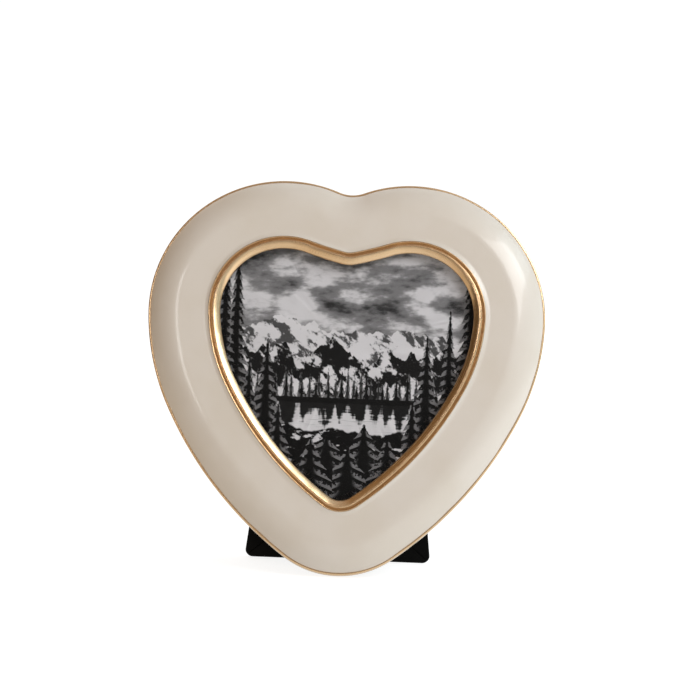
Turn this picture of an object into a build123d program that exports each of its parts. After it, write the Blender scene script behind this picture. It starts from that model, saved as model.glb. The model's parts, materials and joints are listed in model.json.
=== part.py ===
"""Heart shaped enamel photo frame with a folding easel leg.

The frame is drawn lying flat: X to the right, Y up the face from the tip of the heart, Z out of the
face towards the viewer, with Z = 0 on the rear plane of the casting. Every outline is a parallel curve
of a datum heart, so a place on the moulding is given as (offset outwards from the datum, height above the
rear plane). There are two datum hearts, which differ only at the notch: the sight heart is the line where
the enamel meets the sight bezel, and the outline heart carries the dome and the rim. The finished frame is
then leant back on its leg, with +Z up and the origin on the table under the middle of the bounding box.
"""

from build123d import *
from math import asin, cos, degrees, radians, sin, sqrt, tan
import os

# Datum hearts: radii of their tangent arcs, and the heading where each arc ends, counted from the tip
TIP_RADIUS = 11.8
FLANK_RADIUS = 126.9
SHOULDER_RADIUS = 69.4
LOBE_RADIUS = 29.3
NOTCH_RADIUS = 36.7
TIP_TURN = 35.6
FLANK_TURN = 63.6
SHOULDER_TURN = 87.1

# The sight heart's sharper notch: a nearly straight arm on each side of a small arc
SIGHT_NOTCH_RADIUS = 8.0
SIGHT_ARM_RADIUS = 150.0
SIGHT_ARM_TURN = 13.5

# Moulding: a cast shell with an enamelled dome
MOULDING_WIDTH = 23.6
RIM_HEIGHT = 5.2
RIM_REVEAL = 0.7
RIM_ROUND = 0.5
LAND_WIDTH = 10.5
ENAMEL_THICKNESS = 1.2
ENAMEL_COVE_WIDTH = 2.1
ENAMEL_COVE_RISE = 0.6
ENAMEL_SEAT_RISE = 0.9
CASTING_WALL = 2.0
OUTER_WALL = 2.2
LAP_START = 3.0
LAP_END = 5.0

# Rebate, bezel and the picture stack
LEDGE_REACH = 3.0
LEDGE_THICKNESS = 1.2
BEZEL_WIDTH = 4.6
BEZEL_EDGE_RISE = 2.8
BEZEL_BEAD_WIDTH = 1.0
BEZEL_BEAD_FALL = 0.3
BEZEL_BEAD_SWELL = 0.08
BEZEL_GROOVE_WIDTH = 0.75
BEZEL_RIDGE_RISE = 2.85
BEZEL_RIDGE_ROUND = 0.25
BEZEL_SIGHT_RISE = 1.2
BEZEL_SLOPE_SWELL = 0.32
GLASS_THICKNESS = 2.0
PRINT_THICKNESS = 0.3
CARD_THICKNESS = 2.0
BOARD_THICKNESS = 3.0
COVER_THICKNESS = 0.5

# Back plate, its screws and the turn buttons
PLATE_THICKNESS = 1.2
BOSS_RADIUS = 2.6
BOSS_OFFSET = 4.8
SCREW_RADIUS = 1.25
SCREW_LENGTH = 6.0
PLATE_SCREW_HEAD_RADIUS = 2.3
BUTTON_SCREW_HEAD_RADIUS = 2.6
BUTTON_SCREW_HEAD_HEIGHT = 1.3
BUTTON_SCREW_HEAD_ROUND = 0.4
BUTTON_THICKNESS = 1.0
BUTTON_REACH = 13.0
BUTTON_WIDTH = 8.0
BUTTON_TIP_WIDTH = 6.0
BUTTON_EDGE_ROUND = 0.3
WASHER_THICKNESS = 0.3
WASHER_RADIUS = 3.2
UPPER_BUTTON_ANGLE = 72.0
LOWER_BUTTON_ANGLE = -14.0
PLATE_SCREW_SIDE_ANGLE = 24.0
PLATE_SCREW_TOP_ANGLE = 103.0
PLATE_SCREW_FLANK_ANGLE = -42.0

# Easel leg and its hinge
LEAN_ANGLE = 13.0
OPEN_ANGLE = 26.0
HINGE_TOP_MARGIN = 2.65
HINGE_WIDTH = 40.0
HINGE_LEAF_THICKNESS = 0.8
HINGE_LEAF_CORNER = 3.0
BACK_LEAF_LENGTH = 18.0
LEG_LEAF_LENGTH = 24.0
KNUCKLE_RADIUS = 2.2
CENTRE_KNUCKLE_WIDTH = 16.0
PIN_RADIUS = 1.2
PIN_END = 0.8
PIN_END_ROUND = 0.6
RIVET_RADIUS = 1.0
RIVET_HEAD_RADIUS = 1.9
RIVET_HEAD_HEIGHT = 0.9
RIVET_SPREAD = 14.0
RIVET_EDGE = 4.5
LEG_TOP_WIDTH = 51.0
LEG_FOOT_WIDTH = 75.0
LEG_TURN_IN = 9.0
LEG_CORNER_RADIUS = 3.0
LEG_EDGE_ROUND = 0.6
LINING_THICKNESS = 0.3
LINING_RECESS = 0.2

# Clearances
REBATE_CLEARANCE = 0.4
SEAT_CLEARANCE = 0.05
PLATE_CLEARANCE = 0.15
BUTTON_BORE_CLEARANCE = 0.1
BUTTON_PLAY = 0.1
KNUCKLE_GAP = 0.3
KNUCKLE_CLEARANCE = 0.4
KNUCKLE_BOARD_GAP = 0.3
LEG_CLEARANCE = 0.3
PIN_CLEARANCE = 0.05
STOP_CLEARANCE = 0.05

# Heights above the rear plane that follow from the sizes above
CARD_REAR = COVER_THICKNESS + BOARD_THICKNESS
PRINT_REAR = CARD_REAR + CARD_THICKNESS
GLASS_REAR = PRINT_REAR + PRINT_THICKNESS
LEDGE_REAR = GLASS_REAR + GLASS_THICKNESS
LEDGE_FRONT = LEDGE_REAR + LEDGE_THICKNESS
CASTING_CREST = LEDGE_FRONT + ENAMEL_SEAT_RISE
CREST_HEIGHT = CASTING_CREST + ENAMEL_THICKNESS
CAVITY_CREST = CASTING_CREST - CASTING_WALL
BOSS_TOP = CASTING_CREST - CASTING_WALL / 2


def headed(radius, heading):
    """The step from an arc's centre to its point where the outline has this heading, in degrees."""
    return Vector(radius * sin(radians(heading)), -radius * cos(radians(heading)))


# Centres of the arcs that both hearts share on the right half, and of the outline heart's notch
TIP_CENTRE = Vector(0, TIP_RADIUS + MOULDING_WIDTH)
FLANK_CENTRE = TIP_CENTRE + headed(TIP_RADIUS - FLANK_RADIUS, TIP_TURN)
SHOULDER_CENTRE = FLANK_CENTRE + headed(FLANK_RADIUS - SHOULDER_RADIUS, FLANK_TURN)
LOBE_CENTRE = SHOULDER_CENTRE + headed(SHOULDER_RADIUS - LOBE_RADIUS, SHOULDER_TURN)
NOTCH_REACH = LOBE_RADIUS + NOTCH_RADIUS
NOTCH_CENTRE = Vector(0, LOBE_CENTRE.Y + sqrt(NOTCH_REACH**2 - LOBE_CENTRE.X**2))
NOTCH_HALF_TURN = degrees(asin(LOBE_CENTRE.X / NOTCH_REACH))

# The sight heart's arm leaves the lobe where it brings the centre of the notch onto the middle line
ARM_REACH = LOBE_RADIUS + SIGHT_ARM_RADIUS
ARM_REST = SIGHT_ARM_RADIUS - SIGHT_NOTCH_RADIUS
ARM_START = degrees(asin((LOBE_CENTRE.X + ARM_REST * sin(radians(SIGHT_ARM_TURN))) / ARM_REACH))
ARM_CENTRE = LOBE_CENTRE - headed(ARM_REACH, ARM_START)
SIGHT_NOTCH_CENTRE = ARM_CENTRE + headed(ARM_REST, SIGHT_ARM_TURN)

# The hinge axis lies along X, behind the board; its back leaf ends below the notch of the board
BOARD_NOTCH = SIGHT_NOTCH_CENTRE.Y - SIGHT_NOTCH_RADIUS - REBATE_CLEARANCE
HINGE_HEIGHT = BOARD_NOTCH - HINGE_TOP_MARGIN - BACK_LEAF_LENGTH
HINGE_DEPTH = -(KNUCKLE_RADIUS + KNUCKLE_BOARD_GAP)
HINGE_HALF = HINGE_WIDTH / 2
CENTRE_HALF = CENTRE_KNUCKLE_WIDTH / 2
KNUCKLE_LIMIT = KNUCKLE_RADIUS + KNUCKLE_CLEARANCE
BACK_LEAF_FRONT = -SEAT_CLEARANCE
BACK_LEAF_REAR = BACK_LEAF_FRONT - HINGE_LEAF_THICKNESS
LEG_FRONT = -LEG_CLEARANCE
LEG_REAR = HINGE_DEPTH - KNUCKLE_RADIUS + HINGE_LEAF_THICKNESS
LEG_TOP = HINGE_HEIGHT - KNUCKLE_LIMIT
LEG_SLOPE = OPEN_ANGLE - LEAN_ANGLE
HINGE_ABOVE_TABLE = HINGE_HEIGHT * cos(radians(LEAN_ANGLE)) + HINGE_DEPTH * sin(radians(LEAN_ANGLE))
LEG_FOOT_DROP = HINGE_ABOVE_TABLE - (LEG_FRONT - HINGE_DEPTH) * sin(radians(LEG_SLOPE))
LEG_FOOT = HINGE_HEIGHT - LEG_FOOT_DROP / cos(radians(LEG_SLOPE))


def flank_and_lobe(lobe_end):
    """The arcs from the tip to this heading on the lobe: centre, radius, start angle, sweep, +1 for bulging out."""
    return [
        (TIP_CENTRE, TIP_RADIUS, -90, TIP_TURN, 1),
        (FLANK_CENTRE, FLANK_RADIUS, TIP_TURN - 90, FLANK_TURN - TIP_TURN, 1),
        (SHOULDER_CENTRE, SHOULDER_RADIUS, FLANK_TURN - 90, SHOULDER_TURN - FLANK_TURN, 1),
        (LOBE_CENTRE, LOBE_RADIUS, SHOULDER_TURN - 90, lobe_end - SHOULDER_TURN, 1),
    ]


# The right half of each datum heart; the arcs at the notch bulge in, which -1 stands for
OUTLINE_HEART = flank_and_lobe(180 + NOTCH_HALF_TURN) + [
    (NOTCH_CENTRE, NOTCH_RADIUS, -90, NOTCH_HALF_TURN, -1),
]
SIGHT_HEART = flank_and_lobe(180 + ARM_START) + [
    (ARM_CENTRE, SIGHT_ARM_RADIUS, SIGHT_ARM_TURN - 90, ARM_START - SIGHT_ARM_TURN, -1),
    (SIGHT_NOTCH_CENTRE, SIGHT_NOTCH_RADIUS, -90, SIGHT_ARM_TURN, -1),
]


def heart(datum, offset, rear, front):
    """A flat heart between two heights, its outline that far outside the datum heart."""
    half = [
        CenterArc(centre, radius + bulge * offset, start, sweep)
        for centre, radius, start, sweep, bulge in datum
    ]
    outline = make_face(half + [mirror(arc, about=Plane.YZ) for arc in half])
    return Pos(Z=rear) * extrude(outline, front - rear)


def heart_ring(datum, section):
    """A ring round a datum heart: the section, in offset and height, is turned about the centre of each arc."""
    half = []
    for centre, radius, start, sweep, bulge in datum:
        across = section if bulge > 0 else mirror(section, about=Plane.YZ)
        radial = Vector(cos(radians(start)), sin(radians(start)))
        plane = Plane(origin=centre, x_dir=radial, z_dir=radial.cross(Vector(0, 0, 1)))
        face = plane * (Pos(X=radius) * across)
        half.append(revolve(face, Axis(centre, (0, 0, 1)), sweep))
    pieces = half + [mirror(piece, about=Plane.YZ) for piece in half]
    return pieces[0].fuse(*pieces[1:])


def boss_place(centre, radius, angle):
    """A point on the line of bosses outside a datum arc, at this polar angle from the arc's centre."""
    return centre + Vector(radius + BOSS_OFFSET, 0).rotate(Axis.Z, angle)


def mirrored(point):
    """The point's image on the left half."""
    return Vector(-point.X, point.Y)


# Where the screws stand: the four turn buttons and the plate's own screws, all on one line of bosses
UPPER_BUTTON = boss_place(LOBE_CENTRE, LOBE_RADIUS, UPPER_BUTTON_ANGLE)
LOWER_BUTTON = boss_place(SHOULDER_CENTRE, SHOULDER_RADIUS, LOWER_BUTTON_ANGLE)
BUTTON_PLACES = {
    "upper_right": (UPPER_BUTTON, UPPER_BUTTON_ANGLE),
    "lower_right": (LOWER_BUTTON, LOWER_BUTTON_ANGLE),
    "upper_left": (mirrored(UPPER_BUTTON), 180 - UPPER_BUTTON_ANGLE),
    "lower_left": (mirrored(LOWER_BUTTON), 180 - LOWER_BUTTON_ANGLE),
}
BUTTON_POINTS = [place for place, outward in BUTTON_PLACES.values()]
RIGHT_PLATE_SCREWS = [
    boss_place(LOBE_CENTRE, LOBE_RADIUS, PLATE_SCREW_SIDE_ANGLE),
    boss_place(LOBE_CENTRE, LOBE_RADIUS, PLATE_SCREW_TOP_ANGLE),
    boss_place(FLANK_CENTRE, FLANK_RADIUS, PLATE_SCREW_FLANK_ANGLE),
]
PLATE_SCREW_POINTS = RIGHT_PLATE_SCREWS + [mirrored(point) for point in RIGHT_PLATE_SCREWS]


def posts(points, radius, rear, front):
    """Upright round posts at these points, between two heights."""
    post = extrude(Circle(radius), front - rear)
    return [Pos(point.X, point.Y, rear) * post for point in points]


# The dome's face is one arc, level at the land's edge and falling to the rim
DOME_RUN = MOULDING_WIDTH - RIM_REVEAL - LAND_WIDTH
DOME_DROP = CREST_HEIGHT - RIM_HEIGHT
DOME_RADIUS = (DOME_RUN**2 + DOME_DROP**2) / (2 * DOME_DROP)
DOME_CENTRE = Vector(LAND_WIDTH, CREST_HEIGHT - DOME_RADIUS)


def dome_arc(depth):
    """The dome's curve this far below the enamel's face, from the land's edge out to the rim's height."""
    radius = DOME_RADIUS - depth
    reach = sqrt(radius**2 - (RIM_HEIGHT - DOME_CENTRE.Y) ** 2)
    return RadiusArc(DOME_CENTRE + Vector(0, radius), Vector(LAND_WIDTH + reach, RIM_HEIGHT), radius)


def upright(left, right, low, high):
    """A rectangle in a section, between two offsets and two heights."""
    return Pos(left, low) * Rectangle(right - left, high - low, align=(Align.MIN, Align.MIN))


def frame_casting():
    """The gilt shell: outer wall, dome under the enamel, inner wall with the glass ledge, and screw bosses.

    The inner wall follows the sight heart and the dome the outline heart; they lap under the enamel's land."""
    wall = Polygon(
        (0, 0),
        (0, LEDGE_REAR),
        (-LEDGE_REACH, LEDGE_REAR),
        (-LEDGE_REACH, LEDGE_FRONT),
        (0, LEDGE_FRONT),
        (0, CASTING_CREST),
        (LAP_END, CASTING_CREST),
        (LAP_END, CAVITY_CREST),
        (CASTING_WALL, CAVITY_CREST),
        (CASTING_WALL, 0),
        align=None,
    )
    dome = dome_arc(ENAMEL_THICKNESS)
    inside = Polyline((LAP_START, 0), (LAP_START, CASTING_CREST), dome @ 0)
    rim_top = Line(dome @ 1, (MOULDING_WIDTH - RIM_ROUND, RIM_HEIGHT))
    rim_round = RadiusArc(rim_top @ 1, (MOULDING_WIDTH, RIM_HEIGHT - RIM_ROUND), RIM_ROUND)
    outside = Polyline(rim_round @ 1, (MOULDING_WIDTH, 0), (LAP_START, 0))
    mouth = upright(0, MOULDING_WIDTH - OUTER_WALL, 0, CAVITY_CREST)
    under_dome = Pos(DOME_CENTRE) * Circle(DOME_RADIUS - ENAMEL_THICKNESS - CASTING_WALL)
    hollow = mouth & (under_dome + upright(0, LAND_WIDTH, 0, CAVITY_CREST))
    shell = make_face([inside, dome, rim_top, rim_round, outside]) - hollow
    points = BUTTON_POINTS + PLATE_SCREW_POINTS
    bosses = posts(points, BOSS_RADIUS, PLATE_THICKNESS, BOSS_TOP)
    holes = posts(points, SCREW_RADIUS + SEAT_CLEARANCE, PLATE_THICKNESS, SCREW_LENGTH + SEAT_CLEARANCE)
    return heart_ring(SIGHT_HEART, wall.face()).fuse(heart_ring(OUTLINE_HEART, shell.face()), *bosses).cut(*holes)


def enamel_face():
    """The cream enamel: a layer over the dome that stops at the gilt rim and climbs in a cove to the bezel.

    The cove follows the sight heart and the dome the outline heart; the level land takes up the difference."""
    cove_radius = (ENAMEL_COVE_WIDTH**2 + ENAMEL_COVE_RISE**2) / (2 * ENAMEL_COVE_RISE)
    cove_top = Vector(0, CREST_HEIGHT + ENAMEL_COVE_RISE)
    cove_foot = Vector(ENAMEL_COVE_WIDTH, CREST_HEIGHT)
    cove = RadiusArc(cove_top, cove_foot, -cove_radius)
    lap = Polyline(cove_foot, (LAP_END, CREST_HEIGHT), (LAP_END, CASTING_CREST), (0, CASTING_CREST), cove_top)
    face = dome_arc(0)
    seat = dome_arc(ENAMEL_THICKNESS)
    step = Line(face @ 1, seat @ 1)
    land = Polyline(seat @ 0, (LAP_START, CASTING_CREST), (LAP_START, CREST_HEIGHT), face @ 0)
    inner = heart_ring(SIGHT_HEART, make_face([cove, lap]))
    return inner.fuse(heart_ring(OUTLINE_HEART, make_face([face, step, seat, land])))


def bulged(start, end, rise):
    """An arc between two points of a section that rises this far to the left of its chord."""
    chord = end - start
    across = Vector(-chord.Y, chord.X).normalized()
    return ThreePointArc(start, (start + end) / 2 + across * rise, end)


def sight_bezel():
    """The gilt sight ring on the ledge: a sloped bead, a shallow groove, a ridge, and a slope to the opening."""
    seat = Vector(-SEAT_CLEARANCE, LEDGE_FRONT)
    edge = seat + Vector(0, BEZEL_EDGE_RISE)
    groove = edge - Vector(BEZEL_BEAD_WIDTH, BEZEL_BEAD_FALL)
    ridge = Vector(groove.X - BEZEL_GROOVE_WIDTH, LEDGE_FRONT + BEZEL_RIDGE_RISE)
    sight_top = Vector(-BEZEL_WIDTH, LEDGE_FRONT + BEZEL_SIGHT_RISE)
    section = make_face(
        [
            Line(seat, edge),
            bulged(edge, groove, -BEZEL_BEAD_SWELL),
            Line(groove, ridge),
            bulged(ridge, sight_top, -BEZEL_SLOPE_SWELL),
            Polyline(sight_top, (-BEZEL_WIDTH, LEDGE_FRONT), seat),
        ]
    )
    ridge_corner = section.vertices().sort_by_distance(ridge)[0]
    return heart_ring(SIGHT_HEART, fillet(ridge_corner, BEZEL_RIDGE_ROUND).face())


def picture_stack():
    """The glass, the print and the card behind it, each a flat heart inside the rebate."""
    return {
        "glass_pane": heart(SIGHT_HEART, -REBATE_CLEARANCE, GLASS_REAR, LEDGE_REAR),
        "photo_print": heart(SIGHT_HEART, -2 * REBATE_CLEARANCE, PRINT_REAR, GLASS_REAR),
        "backing_card": heart(SIGHT_HEART, -2 * REBATE_CLEARANCE, CARD_REAR, PRINT_REAR),
    }


def rivet_places(row):
    """Four rivet points of a hinge leaf: two rows of two, the rows at these heights."""
    return [Vector(side * RIVET_SPREAD, height) for height in row for side in (-1, 1)]


BACK_RIVET_POINTS = rivet_places(
    (HINGE_HEIGHT + KNUCKLE_RADIUS + RIVET_EDGE, HINGE_HEIGHT + BACK_LEAF_LENGTH - RIVET_EDGE)
)
LEG_RIVET_POINTS = rivet_places(
    (HINGE_HEIGHT - KNUCKLE_RADIUS - RIVET_EDGE, HINGE_HEIGHT - LEG_LEAF_LENGTH + RIVET_EDGE)
)


def back_panel():
    """The back board and the black cover glued over its rear face and edges, pierced for the hinge rivets."""
    holes = posts(BACK_RIVET_POINTS, RIVET_RADIUS + SEAT_CLEARANCE, -COVER_THICKNESS, 2 * CARD_REAR)
    core_outline = -REBATE_CLEARANCE - COVER_THICKNESS
    board = heart(SIGHT_HEART, core_outline, COVER_THICKNESS, CARD_REAR)
    core = heart(SIGHT_HEART, core_outline, COVER_THICKNESS, 2 * CARD_REAR)
    cover = heart(SIGHT_HEART, -REBATE_CLEARANCE, 0, CARD_REAR).cut(core)
    return {"back_board": board.cut(*holes), "back_cover": cover.cut(*holes)}


def back_plate():
    """The flat ring that closes the hollow moulding, countersunk for its screws and bored for the button screws."""
    inside = CASTING_WALL + PLATE_CLEARANCE
    outside = MOULDING_WIDTH - OUTER_WALL - PLATE_CLEARANCE
    whole = heart(OUTLINE_HEART, outside, 0, PLATE_THICKNESS)
    ring = whole.cut(heart(SIGHT_HEART, inside, 0, PLATE_THICKNESS))
    holes = posts(BUTTON_POINTS + PLATE_SCREW_POINTS, SCREW_RADIUS + 2 * SEAT_CLEARANCE, 0, PLATE_THICKNESS)
    sinks = [countersunk_head(point, SEAT_CLEARANCE) for point in PLATE_SCREW_POINTS]
    return ring.cut(*holes, *sinks)


def countersunk_head(point, clearance):
    """A 90 degree countersunk head flush with the rear plane, grown by a clearance."""
    head = PLATE_SCREW_HEAD_RADIUS + clearance
    shank = SCREW_RADIUS + clearance
    return Pos(point.X, point.Y, 0) * Cone(head, shank, head - shank, align=(Align.CENTER, Align.CENTER, Align.MIN))


def slotted(screw, point, head_radius, rear):
    """A screw with a straight driver slot across its head, cut from this height."""
    slot_width = head_radius / 4
    slot_depth = head_radius / 5
    slot = Box(3 * head_radius, slot_width, slot_depth, align=(Align.CENTER, Align.CENTER, Align.MIN))
    return screw.cut(Pos(point.X, point.Y, rear) * slot)


def plate_screws():
    """The screws that hold the back plate to the casting."""
    screws = []
    for point, shank in zip(PLATE_SCREW_POINTS, posts(PLATE_SCREW_POINTS, SCREW_RADIUS, 0, SCREW_LENGTH)):
        screws.append(slotted(countersunk_head(point, 0).fuse(shank), point, PLATE_SCREW_HEAD_RADIUS, 0))
    return Compound(screws)


# The turn buttons ride on washers, behind the back plate
BUTTON_FRONT = -WASHER_THICKNESS - BUTTON_PLAY
BUTTON_REAR = BUTTON_FRONT - BUTTON_THICKNESS


def turn_button(place, outward):
    """A stamped tab on its pivot screw, reaching inwards over the back board, its rear edge rounded."""
    eye = Circle(BUTTON_WIDTH / 2)
    tip = Pos(X=BUTTON_TIP_WIDTH / 2 - BUTTON_REACH) * Circle(BUTTON_TIP_WIDTH / 2)
    tab = extrude(make_hull((eye + tip).edges()), BUTTON_THICKNESS)
    soft = fillet(tab.faces().sort_by(Axis.Z)[0].edges(), BUTTON_EDGE_ROUND)
    hole = extrude(Circle(SCREW_RADIUS + BUTTON_BORE_CLEARANCE), BUTTON_THICKNESS)
    return Pos(place.X, place.Y, BUTTON_REAR) * Rot(Z=outward) * (soft - hole)


def turn_button_screws():
    """The four pivot screws, with a round-edged head behind each button."""
    seat = BUTTON_REAR - BUTTON_PLAY
    head = extrude(Circle(BUTTON_SCREW_HEAD_RADIUS), -BUTTON_SCREW_HEAD_HEIGHT)
    soft = fillet(head.edges().sort_by(Axis.Z)[0], BUTTON_SCREW_HEAD_ROUND)
    screws = []
    for point, shank in zip(BUTTON_POINTS, posts(BUTTON_POINTS, SCREW_RADIUS, seat, SCREW_LENGTH)):
        screw = shank.fuse(Pos(point.X, point.Y, seat) * soft)
        screws.append(slotted(screw, point, BUTTON_SCREW_HEAD_RADIUS, seat - BUTTON_SCREW_HEAD_HEIGHT))
    return Compound(screws)


def turn_button_washers():
    """A thin washer under each turn button."""
    washer = extrude(Circle(WASHER_RADIUS) - Circle(SCREW_RADIUS + 2 * SEAT_CLEARANCE), -WASHER_THICKNESS)
    return Compound([Pos(point.X, point.Y, 0) * washer for point in BUTTON_POINTS])


def along_hinge(radius, start, end):
    """A round bar on the hinge axis, between two places along it."""
    bar = extrude(Circle(radius), end - start)
    return Pos(start, HINGE_HEIGHT, HINGE_DEPTH) * Rot(Y=90) * bar


def block(left, right, low, high, rear, front):
    """A straight block between these places."""
    return Pos(left, low, rear) * Box(right - left, high - low, front - rear, align=(Align.MIN, Align.MIN, Align.MIN))


def hinge_back_leaf():
    """The fixed leaf, flat on the back cover above the axis, with the two outer knuckles."""
    low = HINGE_HEIGHT + KNUCKLE_LIMIT
    plate = block(-HINGE_HALF, HINGE_HALF, low, HINGE_HEIGHT + BACK_LEAF_LENGTH, BACK_LEAF_REAR, BACK_LEAF_FRONT)
    leaf = fillet(plate.edges().filter_by(Axis.Z).sort_by(Axis.Y)[-2:], HINGE_LEAF_CORNER)
    for side in (-1, 1):
        near, far = sorted((side * (CENTRE_HALF + KNUCKLE_GAP), side * HINGE_HALF))
        leaf = leaf.fuse(
            block(near, far, HINGE_HEIGHT, low, BACK_LEAF_REAR, BACK_LEAF_FRONT),
            along_hinge(KNUCKLE_RADIUS, near, far),
        )
    bore = along_hinge(PIN_RADIUS + PIN_CLEARANCE, -HINGE_WIDTH, HINGE_WIDTH)
    return leaf.cut(bore, *posts(BACK_RIVET_POINTS, RIVET_RADIUS + SEAT_CLEARANCE, 2 * BACK_LEAF_REAR, 0))


def hinge_leg_leaf():
    """The moving leaf on the leg's rear face, with the centre knuckle and the tail that stops the leg open."""
    rear = LEG_REAR - HINGE_LEAF_THICKNESS
    high = HINGE_HEIGHT - KNUCKLE_LIMIT
    reach = HINGE_DEPTH - LEG_REAR
    contact = BACK_LEAF_REAR - HINGE_DEPTH - STOP_CLEARANCE
    tail = (contact + reach * cos(radians(OPEN_ANGLE))) / sin(radians(OPEN_ANGLE))
    plate = block(-HINGE_HALF, HINGE_HALF, HINGE_HEIGHT - LEG_LEAF_LENGTH, high, rear, LEG_REAR)
    leaf = fillet(plate.edges().filter_by(Axis.Z).sort_by(Axis.Y)[:2], HINGE_LEAF_CORNER)
    tongue = block(-CENTRE_HALF, CENTRE_HALF, high, HINGE_HEIGHT + tail, rear, LEG_REAR)
    bore = along_hinge(PIN_RADIUS + PIN_CLEARANCE, -HINGE_WIDTH, HINGE_WIDTH)
    leaf = leaf.fuse(tongue, along_hinge(KNUCKLE_RADIUS, -CENTRE_HALF, CENTRE_HALF))
    return leaf.cut(bore, *posts(LEG_RIVET_POINTS, RIVET_RADIUS + SEAT_CLEARANCE, 2 * rear, 0))


def hinge_pin():
    """The pin through all three knuckles, with rounded ends that stand out at both sides."""
    pin = along_hinge(PIN_RADIUS, -HINGE_HALF - PIN_END, HINGE_HALF + PIN_END)
    rims = pin.edges().filter_by(GeomType.CIRCLE)
    return fillet(rims, PIN_END_ROUND)


def rivets(points, seat, end):
    """Domed rivets whose heads sit on the rear of a leaf, with shanks forward to their flush ends."""
    ball = (RIVET_HEAD_RADIUS**2 + RIVET_HEAD_HEIGHT**2) / (2 * RIVET_HEAD_HEIGHT)
    dome = Pos(Z=ball - RIVET_HEAD_HEIGHT) * Sphere(ball)
    cap = dome & Box(4 * ball, 4 * ball, RIVET_HEAD_HEIGHT, align=(Align.CENTER, Align.CENTER, Align.MAX))
    shanks = posts(points, RIVET_RADIUS, seat, end)
    return Compound([shank.fuse(Pos(p.X, p.Y, seat) * cap) for p, shank in zip(points, shanks)])


def leg_slab(inset, front, rear):
    """A tapered slab of the leg between two depths, drawn in on all four sides.

    It is sheared along the table, so that its foot lies flat when the leg stands open."""
    slope = radians(LEG_SLOPE)
    taper = (LEG_FOOT_WIDTH - LEG_TOP_WIDTH) / 2 / (LEG_TOP - LEG_FOOT)
    half_foot = LEG_FOOT_WIDTH / 2 - inset - taper * inset
    half_top = LEG_TOP_WIDTH / 2 - inset + taper * inset
    foot = LEG_FOOT + inset
    top = LEG_TOP - inset
    outline = Polygon((-half_foot, foot), (half_foot, foot), (half_top, top), (-half_top, top), align=None)
    rounded = fillet(outline.vertices(), max(LEG_CORNER_RADIUS - inset, LEG_CORNER_RADIUS / 4))
    place = Pos(0, (front - LEG_FRONT) * tan(slope), front)
    return extrude(place * rounded, (front - rear) / cos(slope), dir=(0, -sin(slope), -cos(slope)))


def easel_leg():
    """The leg, folded flat: a board wrapped in black cover with its edges turned in, and a lining inside them."""
    holes = posts(LEG_RIVET_POINTS, RIVET_RADIUS + SEAT_CLEARANCE, 2 * LEG_REAR, 0)
    board_front = LEG_FRONT - LINING_RECESS - LINING_THICKNESS
    board_rear = LEG_REAR + COVER_THICKNESS
    board = leg_slab(COVER_THICKNESS, board_front, board_rear)
    window = leg_slab(LEG_TURN_IN, LEG_FRONT, board_front)
    lining = leg_slab(LEG_TURN_IN, LEG_FRONT - LINING_RECESS, board_front)
    whole = leg_slab(0, LEG_FRONT, LEG_REAR)
    faces = whole.faces().sort_by(Axis.Z)
    soft = fillet(faces[0].edges() + faces[-1].edges(), LEG_EDGE_ROUND)
    cover = soft.cut(board, window)
    return {
        "leg_board": board.cut(*holes),
        "leg_cover": cover.cut(*holes),
        "leg_lining": lining.cut(*holes),
    }


def fixed_pieces():
    """Every piece that stays still, in the flat frame."""
    pieces = {
        "frame_casting": frame_casting(),
        "enamel_face": enamel_face(),
        "sight_bezel": sight_bezel(),
        "back_plate": back_plate(),
        "plate_screws": plate_screws(),
        "turn_button_screws": turn_button_screws(),
        "turn_button_washers": turn_button_washers(),
        "hinge_back_leaf": hinge_back_leaf(),
        "hinge_back_rivets": rivets(BACK_RIVET_POINTS, BACK_LEAF_REAR, CARD_REAR),
        "hinge_pin": hinge_pin(),
    }
    pieces.update(picture_stack())
    pieces.update(back_panel())
    for name, (place, outward) in BUTTON_PLACES.items():
        pieces["turn_button_" + name] = turn_button(place, outward)
    return pieces


def leg_pieces():
    """Every piece that folds with the leg, in the flat frame with the leg closed."""
    pieces = easel_leg()
    pieces["hinge_leg_leaf"] = hinge_leg_leaf()
    leaf_rear = LEG_REAR - HINGE_LEAF_THICKNESS
    pieces["hinge_leg_rivets"] = rivets(LEG_RIVET_POINTS, leaf_rear, LEG_FRONT - LINING_RECESS)
    return pieces


# The leg swings about the hinge axis, then the whole frame leans back on it
OPEN = Pos(0, HINGE_HEIGHT, HINGE_DEPTH) * Rot(X=OPEN_ANGLE) * Pos(0, -HINGE_HEIGHT, -HINGE_DEPTH)
STAND = Rot(X=90 - LEAN_ANGLE)


def assemble():
    """All pieces as the frame stands, with the origin on the table under the middle of the bounding box."""
    standing = {name: STAND * piece for name, piece in fixed_pieces().items()}
    standing.update({name: STAND * OPEN * piece for name, piece in leg_pieces().items()})
    box = Compound(list(standing.values())).bounding_box()
    centre = Pos(-box.center().X, -box.center().Y, 0)
    return {name: centre * piece for name, piece in standing.items()}, centre


PIECES, CENTRE = assemble()
os.makedirs("parts", exist_ok=True)
for name, piece in PIECES.items():
    export_step(piece, f"parts/{name}.step")
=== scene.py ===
"""Looks of a heart shaped photo frame with a folding easel leg, built round its packed model.

Places on the frame are first given lying flat: right, up the face from the tip of the heart, and out of the
face, with 0 on the rear plane of the casting. A section of the moulding is a loop of (out, height) points,
where out is the distance outside a datum heart. There are two of these, which differ only at the notch: the
sight heart, where the enamel meets the sight ring, and the outline heart, which carries the dome and the rim."""

import json
import math

import bpy
import numpy as np
from bpy.props import FloatProperty, FloatVectorProperty, PointerProperty
from bpy.types import Operator, Panel, PropertyGroup
from mathutils import Matrix, Vector


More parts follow.
